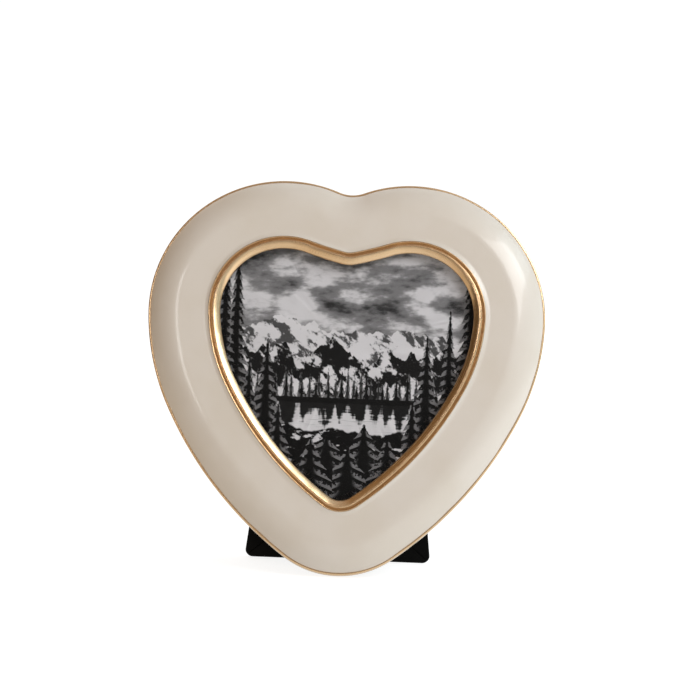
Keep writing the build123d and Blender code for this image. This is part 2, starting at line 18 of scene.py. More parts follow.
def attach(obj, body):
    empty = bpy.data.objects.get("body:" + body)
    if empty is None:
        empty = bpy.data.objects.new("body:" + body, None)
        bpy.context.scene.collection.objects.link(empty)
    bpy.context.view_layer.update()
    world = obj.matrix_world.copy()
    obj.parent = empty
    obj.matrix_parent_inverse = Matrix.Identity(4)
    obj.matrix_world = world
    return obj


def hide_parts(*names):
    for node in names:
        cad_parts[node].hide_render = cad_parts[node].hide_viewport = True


bl_info = {
    "name": "Heart shaped photo frame",
    "version": (1, 0, 0),
    "blender": (4, 5, 0),
    "location": "3D View > Sidebar > Heart Frame",
    "description": "Enamel, gilt, picture, back and easel leg of a heart shaped photo frame",
    "category": "Object",
}

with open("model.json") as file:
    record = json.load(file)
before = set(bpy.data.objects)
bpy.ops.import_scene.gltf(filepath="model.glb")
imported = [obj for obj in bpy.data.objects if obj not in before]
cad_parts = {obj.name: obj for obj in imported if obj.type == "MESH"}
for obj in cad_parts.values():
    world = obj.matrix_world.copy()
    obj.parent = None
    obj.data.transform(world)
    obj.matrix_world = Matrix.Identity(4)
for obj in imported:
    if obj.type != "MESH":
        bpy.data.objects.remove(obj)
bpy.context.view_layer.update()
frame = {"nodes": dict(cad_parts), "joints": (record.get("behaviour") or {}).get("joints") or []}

MM = 0.001
QUARTER = math.pi / 2
WHITE = (1.0, 1.0, 1.0)
RING_UV = "along_ring"
RING_SPACING = 0.8 * MM  # between the points round the heart
BLEND_START, BLEND_SPAN = 2.5 * MM, 8.0 * MM  # where a section passes from the sight heart to the outline heart
SHEET_REACH = 0.6  # how far in from the edge a sheet's grid goes, as a share of the tip's radius
SHARP_ANGLE = math.radians(38)  # edges sharper than this aren't shaded smooth
WARM_SHADE = (1.0, 0.68, 0.36)  # tint of the room's dark left side
COOL_SIDE = (0.74, 0.94, 1.0)  # tint of its light right side
# Soft lights: name, place in metres, width, height, watts, roll in degrees and tint.
SOFT_LIGHTS = (
    ("right_softbox", (0.958, -1.064, 1.171), 1.4, 0.55, 15.3, 18.0, WHITE),
    ("right_reflector", (0.944, -0.167, 0.958), 1.0, 0.435, 2.9, 0.0, (0.74, 0.92, 1.0)),
    ("left_strip", (-0.335, -0.872, 0.438), 0.12, 0.3, 0.68, 0.0, WHITE),
)
JOINTS = {joint["name"]: joint for joint in frame["joints"]}
LEAN = math.asin(-JOINTS["upper_left_button_turn"]["axis"][2])
OPEN = -math.radians(JOINTS["leg_fold"]["range_deg"][0])


def tip_place():
    """Where the heart's tip touches the table: under the lowest point of the casting."""
    mesh = frame["nodes"]["frame_casting"].data
    points = np.empty(len(mesh.vertices) * 3, np.float32)
    mesh.vertices.foreach_get("co", points)
    points = points.reshape(-1, 3)
    return np.array([0.0, points[points[:, 2].argmin(), 1], 0.0])


def turn_over(angle):
    """The matrix of a turn about the axis to the right, by which up goes towards out."""
    cos, sin = math.cos(angle), math.sin(angle)
    return np.array([[1.0, 0.0, 0.0], [0.0, cos, -sin], [0.0, sin, cos]])


TIP = tip_place()
STAND, SWING = turn_over(QUARTER - LEAN), turn_over(OPEN)
HINGE = (JOINTS["leg_fold"]["pos_m"] - TIP) @ STAND  # lying flat


def standing(flat):
    """Flat places as the frame stands: raised about the table line under the tip, and leant back."""
    return np.asarray(flat, float) @ STAND.T + TIP


def swung_open(flat):
    """Flat places of the closed leg, turned about the hinge axis by the open angle."""
    return (np.asarray(flat, float) - HINGE) @ SWING.T + HINGE


def length(name, millimetres, description):
    """A size property, given in millimetres and kept in metres."""
    kind = {"unit": "LENGTH", "subtype": "DISTANCE", "precision": 5}
    return FloatProperty(name=name, description=description, default=millimetres * MM, **kind)


def angle(name, degrees, description):
    """An angle property, given in degrees."""
    kind = {"unit": "ROTATION", "subtype": "ANGLE"}
    return FloatProperty(name=name, description=description, default=math.radians(degrees), **kind)


def amount(name, value, description):
    """A plain factor property."""
    return FloatProperty(name=name, description=description, default=value, min=0.0)


def colour(name, value, description):
    """A colour property."""
    kind = {"size": 3, "min": 0.0, "max": 1.0, "subtype": "COLOR"}
    return FloatVectorProperty(name=name, description=description, default=value, **kind)


class MouldingSizes(PropertyGroup):
    """Sizes of the heart and of its moulding's section."""

    tip_radius: length("Tip radius", 11.8, "Radius of the datum heart at its tip")
    flank_radius: length("Flank radius", 126.9, "Radius of the long flanks")
    shoulder_radius: length("Shoulder radius", 69.4, "Radius between flank and lobe")
    lobe_radius: length("Lobe radius", 29.3, "Radius of the two lobes")
    notch_radius: length("Notch radius", 36.7, "Radius of the outline heart's hollow between the lobes")
    sight_notch_radius: length("Sight notch radius", 8.0, "Radius of the sight heart's hollow")
    sight_arm_radius: length("Sight arm radius", 150.0, "Radius of the nearly straight arm beside that hollow")
    sight_arm_turn: angle("Sight arm turn", 13.5, "Slope where the arm passes into the hollow")
    tip_turn: angle("Tip turn", 35.6, "Heading where the tip's arc ends")
    flank_turn: angle("Flank turn", 63.6, "Heading where the flank's arc ends")
    shoulder_turn: angle("Shoulder turn", 87.1, "Heading where the shoulder's arc ends")
    width: length("Moulding width", 23.6, "From the sight ring to the outside")
    crest: length("Crest height", 11.1, "Height of the enamel's level land")
    land: length("Land width", 10.5, "Where the level land turns into the dome")
    rim_height: length("Rim height", 5.2, "Height of the gilt rim")
    rim_reveal: length("Rim reveal", 0.7, "Width of gilt that shows outside the enamel")
    rim_round: length("Rim round", 0.5, "Rounding of the rim's outer edge")
    enamel: length("Enamel thickness", 1.2, "Thickness of the enamel layer")
    cove_width: length("Cove width", 2.1, "Width of the cove where the enamel climbs to the sight ring")
    cove_rise: length("Cove rise", 0.6, "How far the cove climbs")
    enamel_lip: length("Enamel lip", 0.6, "Rounding of the enamel where it meets the rim")
    wall: length("Casting wall", 2.0, "Wall of the casting under the enamel")
    outer_wall: length("Outer wall", 2.2, "Thickness of the casting's outer wall")
    ledge_reach: length("Ledge reach", 3.0, "How far the glass ledge stands in")
    ledge_rear: length("Ledge rear", 7.8, "Height of the ledge's rear face")
    ledge_front: length("Ledge front", 9.0, "Height of the ledge's front face")
    hand_wave: length("Hand wave", 0.09, "How far hand-finished lines wander")


class SightRingSizes(PropertyGroup):
    """Sizes of the gilt ring round the picture."""

    width: length("Width", 4.6, "Whole width of the ring")
    seat: length("Seat clearance", 0.05, "Gap to the casting")
    edge_rise: length("Edge rise", 2.8, "Height of the outer edge above the ledge")
    lip: length("Lip width", 0.42, "Width of the rounded outer lip")
    shelf: length("Shelf width", 1.1, "Width of the level shelf inside the lip")
    shelf_rise: length("Shelf rise", 2.55, "Height of the shelf above the ledge")
    step: length("Step width", 0.25, "Width of the step from the shelf to the ridge")
    ridge_rise: length("Ridge rise", 2.85, "Height of the ridge above the ledge")
    sight_rise: length("Sight rise", 1.2, "Height of the inner edge above the ledge")
    slope_swell: length("Slope swell", 0.32, "How far the slope swells")


class BackSizes(PropertyGroup):
    """Sizes of the covered back panel and of the easel leg."""

    panel_gap: length("Panel gap", 0.4, "Gap between the back panel and the casting")
    panel_depth: length("Panel depth", 3.5, "Depth of the panel with its cover")
    cover: length("Cover thickness", 0.5, "Thickness of the black cover")
    glass: length("Glass thickness", 2.0, "Thickness of the glass")
    paper: length("Print thickness", 0.3, "Thickness of the print")
    leg_top_width: length("Leg top width", 51.0, "Width of the leg at its top")
    leg_foot_width: length("Leg foot width", 75.0, "Width of the leg at its foot")
    leg_top_drop: length("Leg top drop", 2.6, "From the hinge axis down to the leg's top")
    leg_front: length("Leg front", -0.3, "Height of the leg's front face, folded")
    leg_rear: length("Leg rear", -3.86, "Height of the leg's rear face, folded")
    leg_corner: length("Leg corner radius", 3.0, "Rounding of the leg's corners")
    leg_edge: length("Leg edge round", 0.6, "Rounding of the leg's edges")
    turn_in: length("Turn-in", 9.0, "Width of the cover's turned-in edges")
    mitre: length("Mitre groove", 0.3, "Depth of the fold lines at the leg's corners")


class FinishColours(PropertyGroup):
    """Colours of the finishes."""

    enamel: colour("Enamel", (0.636, 0.553, 0.486), "Cream enamel")
    enamel_thin: colour("Thin enamel", (0.575, 0.485, 0.4), "Enamel where it is thin or warm")
    gilt: colour("Gilt", (0.71, 0.485, 0.29), "Gilt metal")
    gilt_worn: colour("Worn gilt", (0.5, 0.31, 0.16), "Gilt where it is worn")
    # Painted shade: a darker gilt for the sight ring's level shelf, which dims its reflections there
    gilt_shelf_shade: colour("Shade-darkened shelf gilt", (0.47, 0.22, 0.075), "Gilt darkened as painted shade on the sight ring's shelf")
    brass: colour("Brass", (0.66, 0.47, 0.22), "Hinge and turn buttons")
    brass_dull: colour("Dull brass", (0.36, 0.23, 0.1), "Tarnish on the brass")
    steel: colour("Steel", (0.5, 0.47, 0.42), "Screws and washers")
    leatherette: colour("Leatherette", (0.0014, 0.0012, 0.001), "Black cover")
    lining: colour("Lining", (0.02, 0.018, 0.017), "Black lining paper")
    board: colour("Board", (0.3, 0.19, 0.1), "Hardboard")
    card: colour("Card", (0.44, 0.37, 0.28), "Backing card")
    print_light: colour("Print light", (0.74, 0.706, 0.722), "Lightest tone of the print")
    print_dark: colour("Print dark", (0.0086, 0.008, 0.0079), "Darkest tone of the print")


class StudioSetting(PropertyGroup):
    """Camera and light of the studio."""

    distance: length("Camera distance", 1000.0, "From the camera to its aim")
    elevation: angle("Camera elevation", 3.0, "Camera above the level")
    roll: angle("Camera roll", 2.3, "Camera turned about its own axis")
    lens: amount("Lens", 131.35, "Focal length in millimetres on a 36 mm sensor")
    aim_right: length("Aim right", 1.75, "The camera's aim beside the frame's middle")
    aim_height: length("Aim height", 86.3, "Height of the camera's aim")
    ambient: amount("Ambient light", 0.38, "Strength of the light from all round")
    backdrop: amount("Backdrop", 0.9, "Strength of the light from behind")
    shade: amount("Shade", 0.7, "How much of the light from the left is taken away")
    side: amount("Side light", 0.95, "How much light from the right is added")
    above: amount("Light from above", 0.6, "How much light from above is added")


def put_object(name, data):
    """A new object in the scene."""
    made = bpy.data.objects.new(name, data)
    bpy.context.scene.collection.objects.link(made)
    return made


def put_mesh(name, points, faces):
    """A new mesh object from an array of points and a list of faces."""
    mesh = bpy.data.meshes.new(name)
    mesh.from_pydata(points.reshape(-1, 3).tolist(), [], faces)
    return put_object(name, mesh)


def put_piece(name, points, faces, loop_uv=None):
    """A smooth mesh piece; where its closed surface encloses a negative volume, the faces are turned round first.

    A face whose last two corners are one point is a triangle. Triangles come after all other faces."""
    a, b, c, d = (points[faces[:, k]] for k in range(4))
    if np.einsum("ij,ij->i", a, np.cross(b, c) + np.cross(c, d)).sum() < 0:
        turned = [1, 0, 3, 2]
        faces = faces[:, turned]
        loop_uv = None if loop_uv is None else loop_uv[:, turned]
    pinched = faces[:, 2] == faces[:, 3]
    piece = put_mesh(name, points, faces[~pinched].tolist() + faces[pinched, :3].tolist())
    mesh = piece.data
    mesh.polygons.foreach_set("use_smooth", np.ones(len(faces), bool))
    mesh.set_sharp_from_angle(angle=SHARP_ANGLE)
    if loop_uv is not None:
        uv = np.ascontiguousarray(loop_uv, np.float32).ravel()
        mesh.uv_layers.new(name=RING_UV).data.foreach_set("uv", uv)
    mesh.update()
    return piece


def ring_faces(around, across, closed):
    """Quads of a grid that joins up round the ring, and across it too where closed."""
    i = np.arange(around)[:, None]
    j = np.arange(across if closed else across - 1)[None, :]
    ahead, beside = (i + 1) % around, (j + 1) % across
    corners = i * across + j, ahead * across + j, ahead * across + beside, i * across + beside
    return np.stack(np.broadcast_arrays(*corners), -1).reshape(-1, 4)


def put_ring(name, section, path, shift_out=0.0, shift_up=0.0):
    """A closed ring, a section carried round the hearts, with a UV map in metres along it and over its section."""
    grid = carried(section, path, shift_out, shift_up)
    around, across = grid.shape[:2]
    along, over = path[2], distance_round(grid[0])
    i, j = np.meshgrid(np.arange(around), np.arange(across), indexing="ij")
    corners = [np.stack([along[i + di], over[j + dj]], -1) for di, dj in ((0, 0), (1, 0), (1, 1), (0, 1))]
    loop_uv = np.stack(corners, 2).reshape(-1, 4, 2)
    return put_piece(name, grid.reshape(-1, 3), ring_faces(around, across, True), loop_uv)


def put_wrap(name, grid, first_pole, last_pole):
    """A closed skin from a grid of standing points whose two ends are drawn together to a pole each."""
    around, across = grid.shape[:2]
    i = np.arange(around) * across
    ahead = np.roll(i, -1)
    pole = np.full(around, around * across)
    first = np.stack([ahead, i, pole, pole], -1)
    last = np.stack([i + across - 1, ahead + across - 1, pole + 1, pole + 1], -1)
    points = np.concatenate([grid.reshape(-1, 3), [first_pole], [last_pole]])
    return put_piece(name, points, np.concatenate([ring_faces(around, across, False), first, last]))


def put_filled(name, sizes, section, first_height, last_height):
    """A section carried round the hearts whose two ends are filled to the middle, at these heights."""
    path = heart_path(sizes)
    middle = path[0][0].mean(0)
    poles = standing([(*middle, first_height), (*middle, last_height)])
    return put_wrap(name, carried(section, path), *poles)


def put_sheet(name, sizes, rear, front, gap, ease):
    """A flat sheet in the rebate, this gap inside it."""
    return put_filled(name, sizes, sheet_section(sizes, gap, rear, front, ease), rear, front)


def distance_round(loop):
    """The distance along a closed loop of points at each of them, and the whole way round at the end."""
    steps = np.linalg.norm(np.diff(loop, axis=0, append=loop[:1]), axis=-1)
    return np.concatenate([[0.0], np.cumsum(steps)])


def ramp(values, start, span):
    """A straight rise from 0 at the start to 1 a span further on."""
    return np.clip((values - start) / span, 0.0, 1.0)


def unit(vectors):
    """Vectors brought to a length of one."""
    return vectors / np.linalg.norm(vectors, axis=-1, keepdims=True)


def headed(radius, heading):
    """The step from an arc's centre to its point where the outline has this heading."""
    return np.array([radius * math.sin(heading), -radius * math.cos(heading)])


def heart_arcs(sizes):
    """The right half's arcs from tip to notch: (centre, radius, first and last heading, +1 bulging out or -1 in).

    The first list is shared by both hearts and ends on top of the lobe; then come the sight heart's own arcs
    and the outline heart's own."""
    tip = np.array([0.0, sizes.tip_radius + sizes.width])
    flank = tip + headed(sizes.tip_radius - sizes.flank_radius, sizes.tip_turn)
    shoulder = flank + headed(sizes.flank_radius - sizes.shoulder_radius, sizes.flank_turn)
    lobe = shoulder + headed(sizes.shoulder_radius - sizes.lobe_radius, sizes.shoulder_turn)
    shared = [
        (tip, sizes.tip_radius, 0.0, sizes.tip_turn, 1),
        (flank, sizes.flank_radius, sizes.tip_turn, sizes.flank_turn, 1),
        (shoulder, sizes.shoulder_radius, sizes.flank_turn, sizes.shoulder_turn, 1),
        (lobe, sizes.lobe_radius, sizes.shoulder_turn, math.pi, 1),
    ]
    reach = sizes.lobe_radius + sizes.notch_radius
    half_turn = math.asin(lobe[0] / reach)
    outline = [
        (lobe, sizes.lobe_radius, math.pi, math.pi + half_turn, 1),
        (lobe - headed(reach, half_turn), sizes.notch_radius, half_turn, 0.0, -1),
    ]
    arm_reach = sizes.lobe_radius + sizes.sight_arm_radius
    arm_rest = sizes.sight_arm_radius - sizes.sight_notch_radius
    arm_turn = math.asin((lobe[0] + arm_rest * math.sin(sizes.sight_arm_turn)) / arm_reach)
    arm = lobe - headed(arm_reach, arm_turn)
    sight = [
        (lobe, sizes.lobe_radius, math.pi, math.pi + arm_turn, 1),
        (arm, sizes.sight_arm_radius, arm_turn, sizes.sight_arm_turn, -1),
        (arm + headed(arm_rest, sizes.sight_arm_turn), sizes.sight_notch_radius, sizes.sight_arm_turn, 0.0, -1),
    ]
    return shared, sight, outline


def along_arcs(arcs, spread, count):
    """This many points along a chain of arcs, and their outward directions, evenly spaced that far outside.

    A point is its arc's centre plus the radius times (cos a, sin a), where a is the heading less a quarter turn,
    and outwards is (cos a, sin a), or its opposite on an arc that bulges in."""
    centres, radii, firsts, lasts, bulges = (np.array(column) for column in zip(*arcs))
    lengths = (radii + bulges * spread) * np.abs(lasts - firsts)
    ends = np.cumsum(lengths)
    place = np.arange(count) / count * ends[-1]
    which = np.searchsorted(ends, place, side="right")
    share = (place - (ends - lengths)[which]) / lengths[which]
    a = firsts[which] - QUARTER + (lasts - firsts)[which] * share
    spoke = np.stack([np.cos(a), np.sin(a)], -1)
    return centres[which] + radii[which, None] * spoke, bulges[which, None] * spoke


def heart_path(sizes):
    """Both hearts as (points, outward directions), point for point alike, and the distance along, ends included.

    The left half is the right half mirrored and run backwards."""
    shared, *own = heart_arcs(sizes)
    side_length = sum((radius + sizes.width) * (last - first) for _, radius, first, last, _ in shared)
    side_count = math.ceil(side_length / RING_SPACING)
    notch_count = math.ceil(2 * sizes.lobe_radius / RING_SPACING)
    hearts = []
    for arcs, spread in zip(own, (0.0, sizes.width / 2)):
        runs = [along_arcs(shared, sizes.width / 2, side_count), along_arcs(arcs, spread, notch_count)]
        centre, radius = arcs[-1][:2]
        runs.append(([centre - [0.0, radius]], [[0.0, 1.0]]))
        half = [np.concatenate(column) for column in zip(*runs)]
        hearts.append([np.concatenate([side, (side * [-1.0, 1.0])[-2:0:-1]]) for side in half])
    return *hearts, distance_round(hearts[0][0])


def hand_wave(along, turns, seed):
    """A column that wanders between about -1 and 1 round the heart: sines of whole turns, with set phases."""
    share = along[:-1] / along[-1] * 2 * math.pi
    phases = np.random.default_rng(seed).uniform(0, 2 * math.pi, len(turns))
    waves = np.sin(share[:, None] * np.array(turns) + phases)
    usual_peak = 1.4 * math.sqrt(len(turns))
    return waves.sum(1, keepdims=True) / usual_peak


def carried(section, path, shift_out=0.0, shift_up=0.0):
    """A section carried round the hearts: datum point + out * outwards, at the section's height, then stood up.

    It follows the sight heart near the ring and the outline heart from the dome outwards, and passes from one to
    the other by a smooth step across the land. The shifts move the section at each place round the heart, as
    arrays (round, section) or numbers."""
    sight, outline, along = path
    column = np.zeros((len(along) - 1, 1))
    out, height = section[:, 0] + column + shift_out, section[:, 1] + column + shift_up
    t = ramp(section[:, 0], BLEND_START, BLEND_SPAN)
    share = (t * t * (3.0 - 2.0 * t))[None, :, None]
    near, far = (points[:, None, :] + out[..., None] * outwards[:, None, :] for points, outwards in (sight, outline))
    return standing(np.concatenate([near + (far - near) * share, height[..., None]], -1))


def run(start, end, steps):
    """Points on a straight run, without its end."""
    share = np.arange(steps)[:, None] / steps
    return np.asarray(start) + (np.asarray(end) - np.asarray(start)) * share


def arc(centre, radius, first, last, steps):
    """Points on an arc, centre + radius * (cos a, sin a), with both ends; angles in radians."""
    a = np.linspace(first, last, steps + 1)
    return np.asarray(centre) + radius * np.stack([np.cos(a), np.sin(a)], -1)


def bulge(start, end, rise, steps):
    """Points on an arc between two points that rises to the right of its chord, without its end.

    It is the chord plus a parabola, 4 * rise * t * (1 - t), across it."""
    start, end = np.asarray(start), np.asarray(end)
    t = np.arange(steps)[:, None] / steps
    chord = end - start
    across = np.array([chord[1], -chord[0]]) / np.linalg.norm(chord)
    return start + chord * t + across * 4 * rise * t * (1 - t)


def rounded(before, corner, after, steps=8):
    """Points round a corner, both ends included: the quadratic curve that the three points give."""
    t = np.linspace(0, 1, steps + 1)[:, None]
    return (1 - t) ** 2 * np.asarray(before) + 2 * t * (1 - t) * np.asarray(corner) + t**2 * np.asarray(after)


def dome(sizes, depth):
    """The dome's curve this far under the enamel's face: one arc, level at the land and falling to the rim."""
    span = sizes.width - sizes.rim_reveal - sizes.land
    drop = sizes.crest - sizes.rim_height
    radius = (span**2 + drop**2) / (2 * drop)
    centre = np.array([sizes.land, sizes.crest - radius])
    low = math.asin((sizes.rim_height - centre[1]) / (radius - depth))
    return centre, radius - depth, low


def enamel_section(sizes):
    """The enamel: cove, level land, dome, a small rounded lip at the rim, and its underside."""
    centre, radius, low = dome(sizes, 0.0)
    cove_radius = (sizes.cove_width**2 + sizes.cove_rise**2) / (2 * sizes.cove_rise)
    cove_start = math.atan2(sizes.cove_rise - cove_radius, -sizes.cove_width)
    cove = arc((sizes.cove_width, sizes.crest + cove_radius), cove_radius, cove_start, -QUARTER, 16)
    land = run((sizes.cove_width, sizes.crest), (sizes.land, sizes.crest), 14)[1:]
    lip_on_face, lip_on_rim = 1.2 * sizes.enamel_lip, 0.5 * sizes.enamel_lip
    face = arc(centre, radius, QUARTER, low + lip_on_face / radius, 44)
    corner = arc(centre, radius, low, low, 1)[0]
    edge = rounded(face[-1], corner, corner - [lip_on_rim, 0.0])[1:]
    under = arc(*dome(sizes, sizes.enamel), QUARTER, 24)
    return np.concatenate([cove, land, face, edge, under, [(0.0, sizes.crest - sizes.enamel)]])


def casting_section(sizes):
    """The gilt casting: ledge, seat of the enamel, rounded rim, outer wall, and the hollow open to the rear."""
    centre, radius, low = dome(sizes, sizes.enamel)
    hollow_centre, hollow_radius, _ = dome(sizes, sizes.enamel + sizes.wall)
    cavity = sizes.crest - sizes.enamel - sizes.wall
    inner_side = sizes.width - sizes.outer_wall
    meet = math.acos(min(1.0, (inner_side - hollow_centre[0]) / hollow_radius))
    ease = sizes.rim_round / 2
    inside = [
        (0.0, 0.0),
        (0.0, sizes.ledge_rear),
        (-sizes.ledge_reach, sizes.ledge_rear),
        (-sizes.ledge_reach, sizes.ledge_front),
        (0.0, sizes.ledge_front),
        (0.0, sizes.crest - sizes.enamel),
    ]
    seat = arc(centre, radius, QUARTER, low, 20)
    rim_centre = (sizes.width - sizes.rim_round, sizes.rim_height - sizes.rim_round)
    rim_top = run(seat[-1], (rim_centre[0], sizes.rim_height), 8)[1:]
    rim = arc(rim_centre, sizes.rim_round, QUARTER, 0.0, 10)
    wall = run((sizes.width, rim_centre[1]), (sizes.width, ease), 8)[1:]
    heel = arc((sizes.width - ease, ease), ease, 0.0, -QUARTER, 6)
    hollow = arc(hollow_centre, hollow_radius, meet, QUARTER, 16)
    mouth, back = [(inner_side, 0.0)], [(sizes.wall, cavity), (sizes.wall, 0.0)]
    return np.concatenate([inside, seat, rim_top, rim, wall, heel, mouth, hollow, back])


def sight_ring_section(moulding, ring):
    """The sight ring: a rounded lip, a level shelf, a ridge, and a swelled slope down to the picture."""
    seat = np.array([-ring.seat, moulding.ledge_front])
    edge = seat + [0.0, ring.edge_rise]
    inner = edge - [ring.lip, 0.0]
    hollow = seat + [-ring.lip, ring.shelf_rise]
    foot = hollow - [ring.shelf, 0.0]
    ridge = np.array([foot[0] - ring.step, moulding.ledge_front + ring.ridge_rise])
    sight = np.array([-ring.width, moulding.ledge_front + ring.sight_rise])
    crown = (edge + inner) / 2
    fall, ease, brink = np.array([0.0, 0.16 * MM]), np.array([0.1 * MM, 0.0]), np.array([0.0, 0.2 * MM])
    step = run(foot, ridge, 12)
    slope = bulge(ridge, sight, ring.slope_swell, 24)
    return np.concatenate(
        [
            run(seat, edge - fall, 10),
            rounded(edge - fall, edge, crown),
            rounded(crown, inner, inner - fall)[1:],
            rounded(hollow + fall / 4, hollow, hollow - ease)[1:],
            run(hollow - ease, foot + ease, 6)[1:],
            rounded(foot + ease, foot, step[4]),
            rounded(step[-4], ridge, slope[3]),
            slope[4:],
            [sight, sight - brink, (-ring.width, moulding.ledge_front)],
        ]
    )


def sheet_section(moulding, gap, rear, front, ease):
    """A flat sheet in the rebate: rear face, an edge with both corners eased off, and front face."""
    far = -SHEET_REACH * moulding.tip_radius
    edge = [(-gap - ease, rear), (-gap, rear + ease), (-gap, front - ease), (-gap - ease, front)]
    return np.concatenate([run((far, rear), edge[0], 4), edge, run(edge[-1], (far, front), 4)[1:], [(far, front)]])


def panel_section(moulding, back):
    """The back panel's cover: from inside, over its front edge, down its side and round onto the rear face."""
    outside, cover, depth = -back.panel_gap, back.cover, back.panel_depth
    inner = outside - cover
    far = -SHEET_REACH * moulding.tip_radius
    start = [(far, cover), (inner, cover), (inner, depth), (outside, depth)]
    side = run((outside, depth), (outside, cover), 6)[1:]
    turn = arc((inner, cover), cover, 0.0, -QUARTER, 8)
    face = run((inner, 0.0), (far, 0.0), 10)[1:]
    return np.concatenate([start, side, turn, face, [(far, 0.0)]])


def leg_outline(back, insets, low, high):
    """The leg's outline drawn in by each inset, an array (round, inset, 2), and a mask of its corners' middles.

    Each corner is an arc tangent to its two sides: its centre lies on the corner's bisector at
    radius / sin(half the corner's angle), and straight sides join the arcs."""
    corner_steps, side_steps, fold_width = 15, 36, 1.1
    taper = (back.leg_foot_width - back.leg_top_width) / 2 / (high - low)
    half_foot = back.leg_foot_width / 2 - insets - taper * insets
    half_top = back.leg_top_width / 2 - insets + taper * insets
    foot, top = low + insets, high - insets
    corners = np.array([[-half_foot, foot], [half_foot, foot], [half_top, top], [-half_top, top]])
    corners = np.moveaxis(corners, 1, -1)
    behind = unit(np.roll(corners, 1, 0) - corners)
    ahead = unit(np.roll(corners, -1, 0) - corners)
    half = np.arccos((behind * ahead).sum(-1))[..., None] / 2
    radius = np.maximum(back.leg_corner - insets, back.leg_corner / 4)[None, :, None]
    start = corners + behind * radius / np.tan(half)
    end = corners + ahead * radius / np.tan(half)
    centre = corners + unit(behind + ahead) * radius / np.sin(half)
    first = np.arctan2((start - centre)[..., 1], (start - centre)[..., 0])
    t = np.linspace(0, 1, corner_steps)[None, :, None]
    a = first[:, None] + (math.pi - 2 * half[..., 0])[:, None] * t
    bend = centre[:, None] + radius[:, None] * np.stack([np.cos(a), np.sin(a)], -1)
    share = (np.arange(1, side_steps) / side_steps)[None, :, None, None]
    side = end[:, None] + (np.roll(start, -1, 0) - end)[:, None] * share
    step = np.arange(corner_steps + side_steps - 1) - (corner_steps - 1) / 2
    fold = np.exp(-((step / fold_width) ** 2))
    return np.concatenate([bend, side], 1).reshape(-1, len(insets), 2), np.tile(fold, 4)


def leg_section(back):
    """Insets and heights across the leg's cover: rear face, rounded edges, front turn-in, and back inside it.

    The last column is how much of the mitre's fold line each station takes."""
    edge, skin = back.leg_edge, back.cover
    front, rear = back.leg_front, back.leg_rear
    lip, innermost, fold_growth = 0.15 * MM, 18 * MM, 0.3
    a = np.linspace(0, QUARTER, 7)
    rear_turn = np.stack([edge * (1 - np.sin(a)), rear + edge * (1 - np.cos(a)), 0 * a], -1)
    front_turn = np.stack([edge * (1 - np.cos(a)), front - edge * (1 - np.sin(a)), fold_growth * a], -1)
    rear_face = [(inset * MM, rear, 0.0) for inset in (18, 12, 7, 3, 1.2)]
    turn_in = [(inset * MM, front, 1.0) for inset in (1.0, 2.0, 3.5, 5.0, 6.5, 8.0)]
    end = back.turn_in
    lip_edge = [(end - lip, front, 1.0), (end, front - lip, 1.0), (end, front - skin, 0.0)]
    inside = [(skin, front - skin, 0.0), (skin, rear + skin, 0.0), (innermost, rear + skin, 0.0)]
    return np.concatenate([rear_face, rear_turn, front_turn, turn_in, lip_edge, inside])


def joins(operation, reflected=False):
    """A method of Strand that adds a Math node; the reflected form puts the other term first."""

    def method(self, *others):
        terms = (*others, self) if reflected else (self, *others)
        return self.nodes.node("ShaderNodeMath", {"operation": operation}, dict(enumerate(terms)))

    return method


class Strand:
    """One socket of a finish's nodes. Arithmetic written with it adds Math nodes."""

    def __init__(self, nodes, socket):
        self.nodes = nodes
        self.socket = socket

    def outlet(self, name):
        return Strand(self.nodes, self.socket.node.outputs[name])

    __add__, __radd__ = joins("ADD"), joins("ADD", reflected=True)
    __sub__, __rsub__ = joins("SUBTRACT"), joins("SUBTRACT", reflected=True)
    __mul__, __rmul__ = joins("MULTIPLY"), joins("MULTIPLY", reflected=True)
    __truediv__, __rtruediv__ = joins("DIVIDE"), joins("DIVIDE", reflected=True)
    __abs__ = joins("ABSOLUTE")
    floor = joins("FLOOR")
    fraction = joins("FRACT")
    most = joins("MAXIMUM")


class Nodes:
    """Adds nodes to a tree."""

    def __init__(self, tree):
        self.tree = tree

    def node(self, kind, settings=None, sockets=None, outlet=0):
        """A node of this type, its settings first, then the values or strands of its sockets."""
        made = self.tree.nodes.new(kind)
        for name, value in (settings or {}).items():
            setattr(made, name, value)
        for name, value in (sockets or {}).items():
            if isinstance(value, Strand):
                self.tree.links.new(value.socket, made.inputs[name])
            else:
                made.inputs[name].default_value = value
        return None if outlet is None else Strand(self, made.outputs[outlet])

    def fade(self, value, low, high):
        """A smooth step from 0 at low to 1 at high."""
        sockets = {"Value": value, "From Min": low, "From Max": high}
        return self.node("ShaderNodeMapRange", {"interpolation_type": "SMOOTHSTEP"}, sockets)

    def mix(self, share, first, second):
        """One colour into another."""

        def whole(value):
            return value if isinstance(value, Strand) else (*value, 1.0)

        sockets = {0: share, 6: whole(first), 7: whole(second)}
        return self.node("ShaderNodeMix", {"data_type": "RGBA"}, sockets, outlet=2)


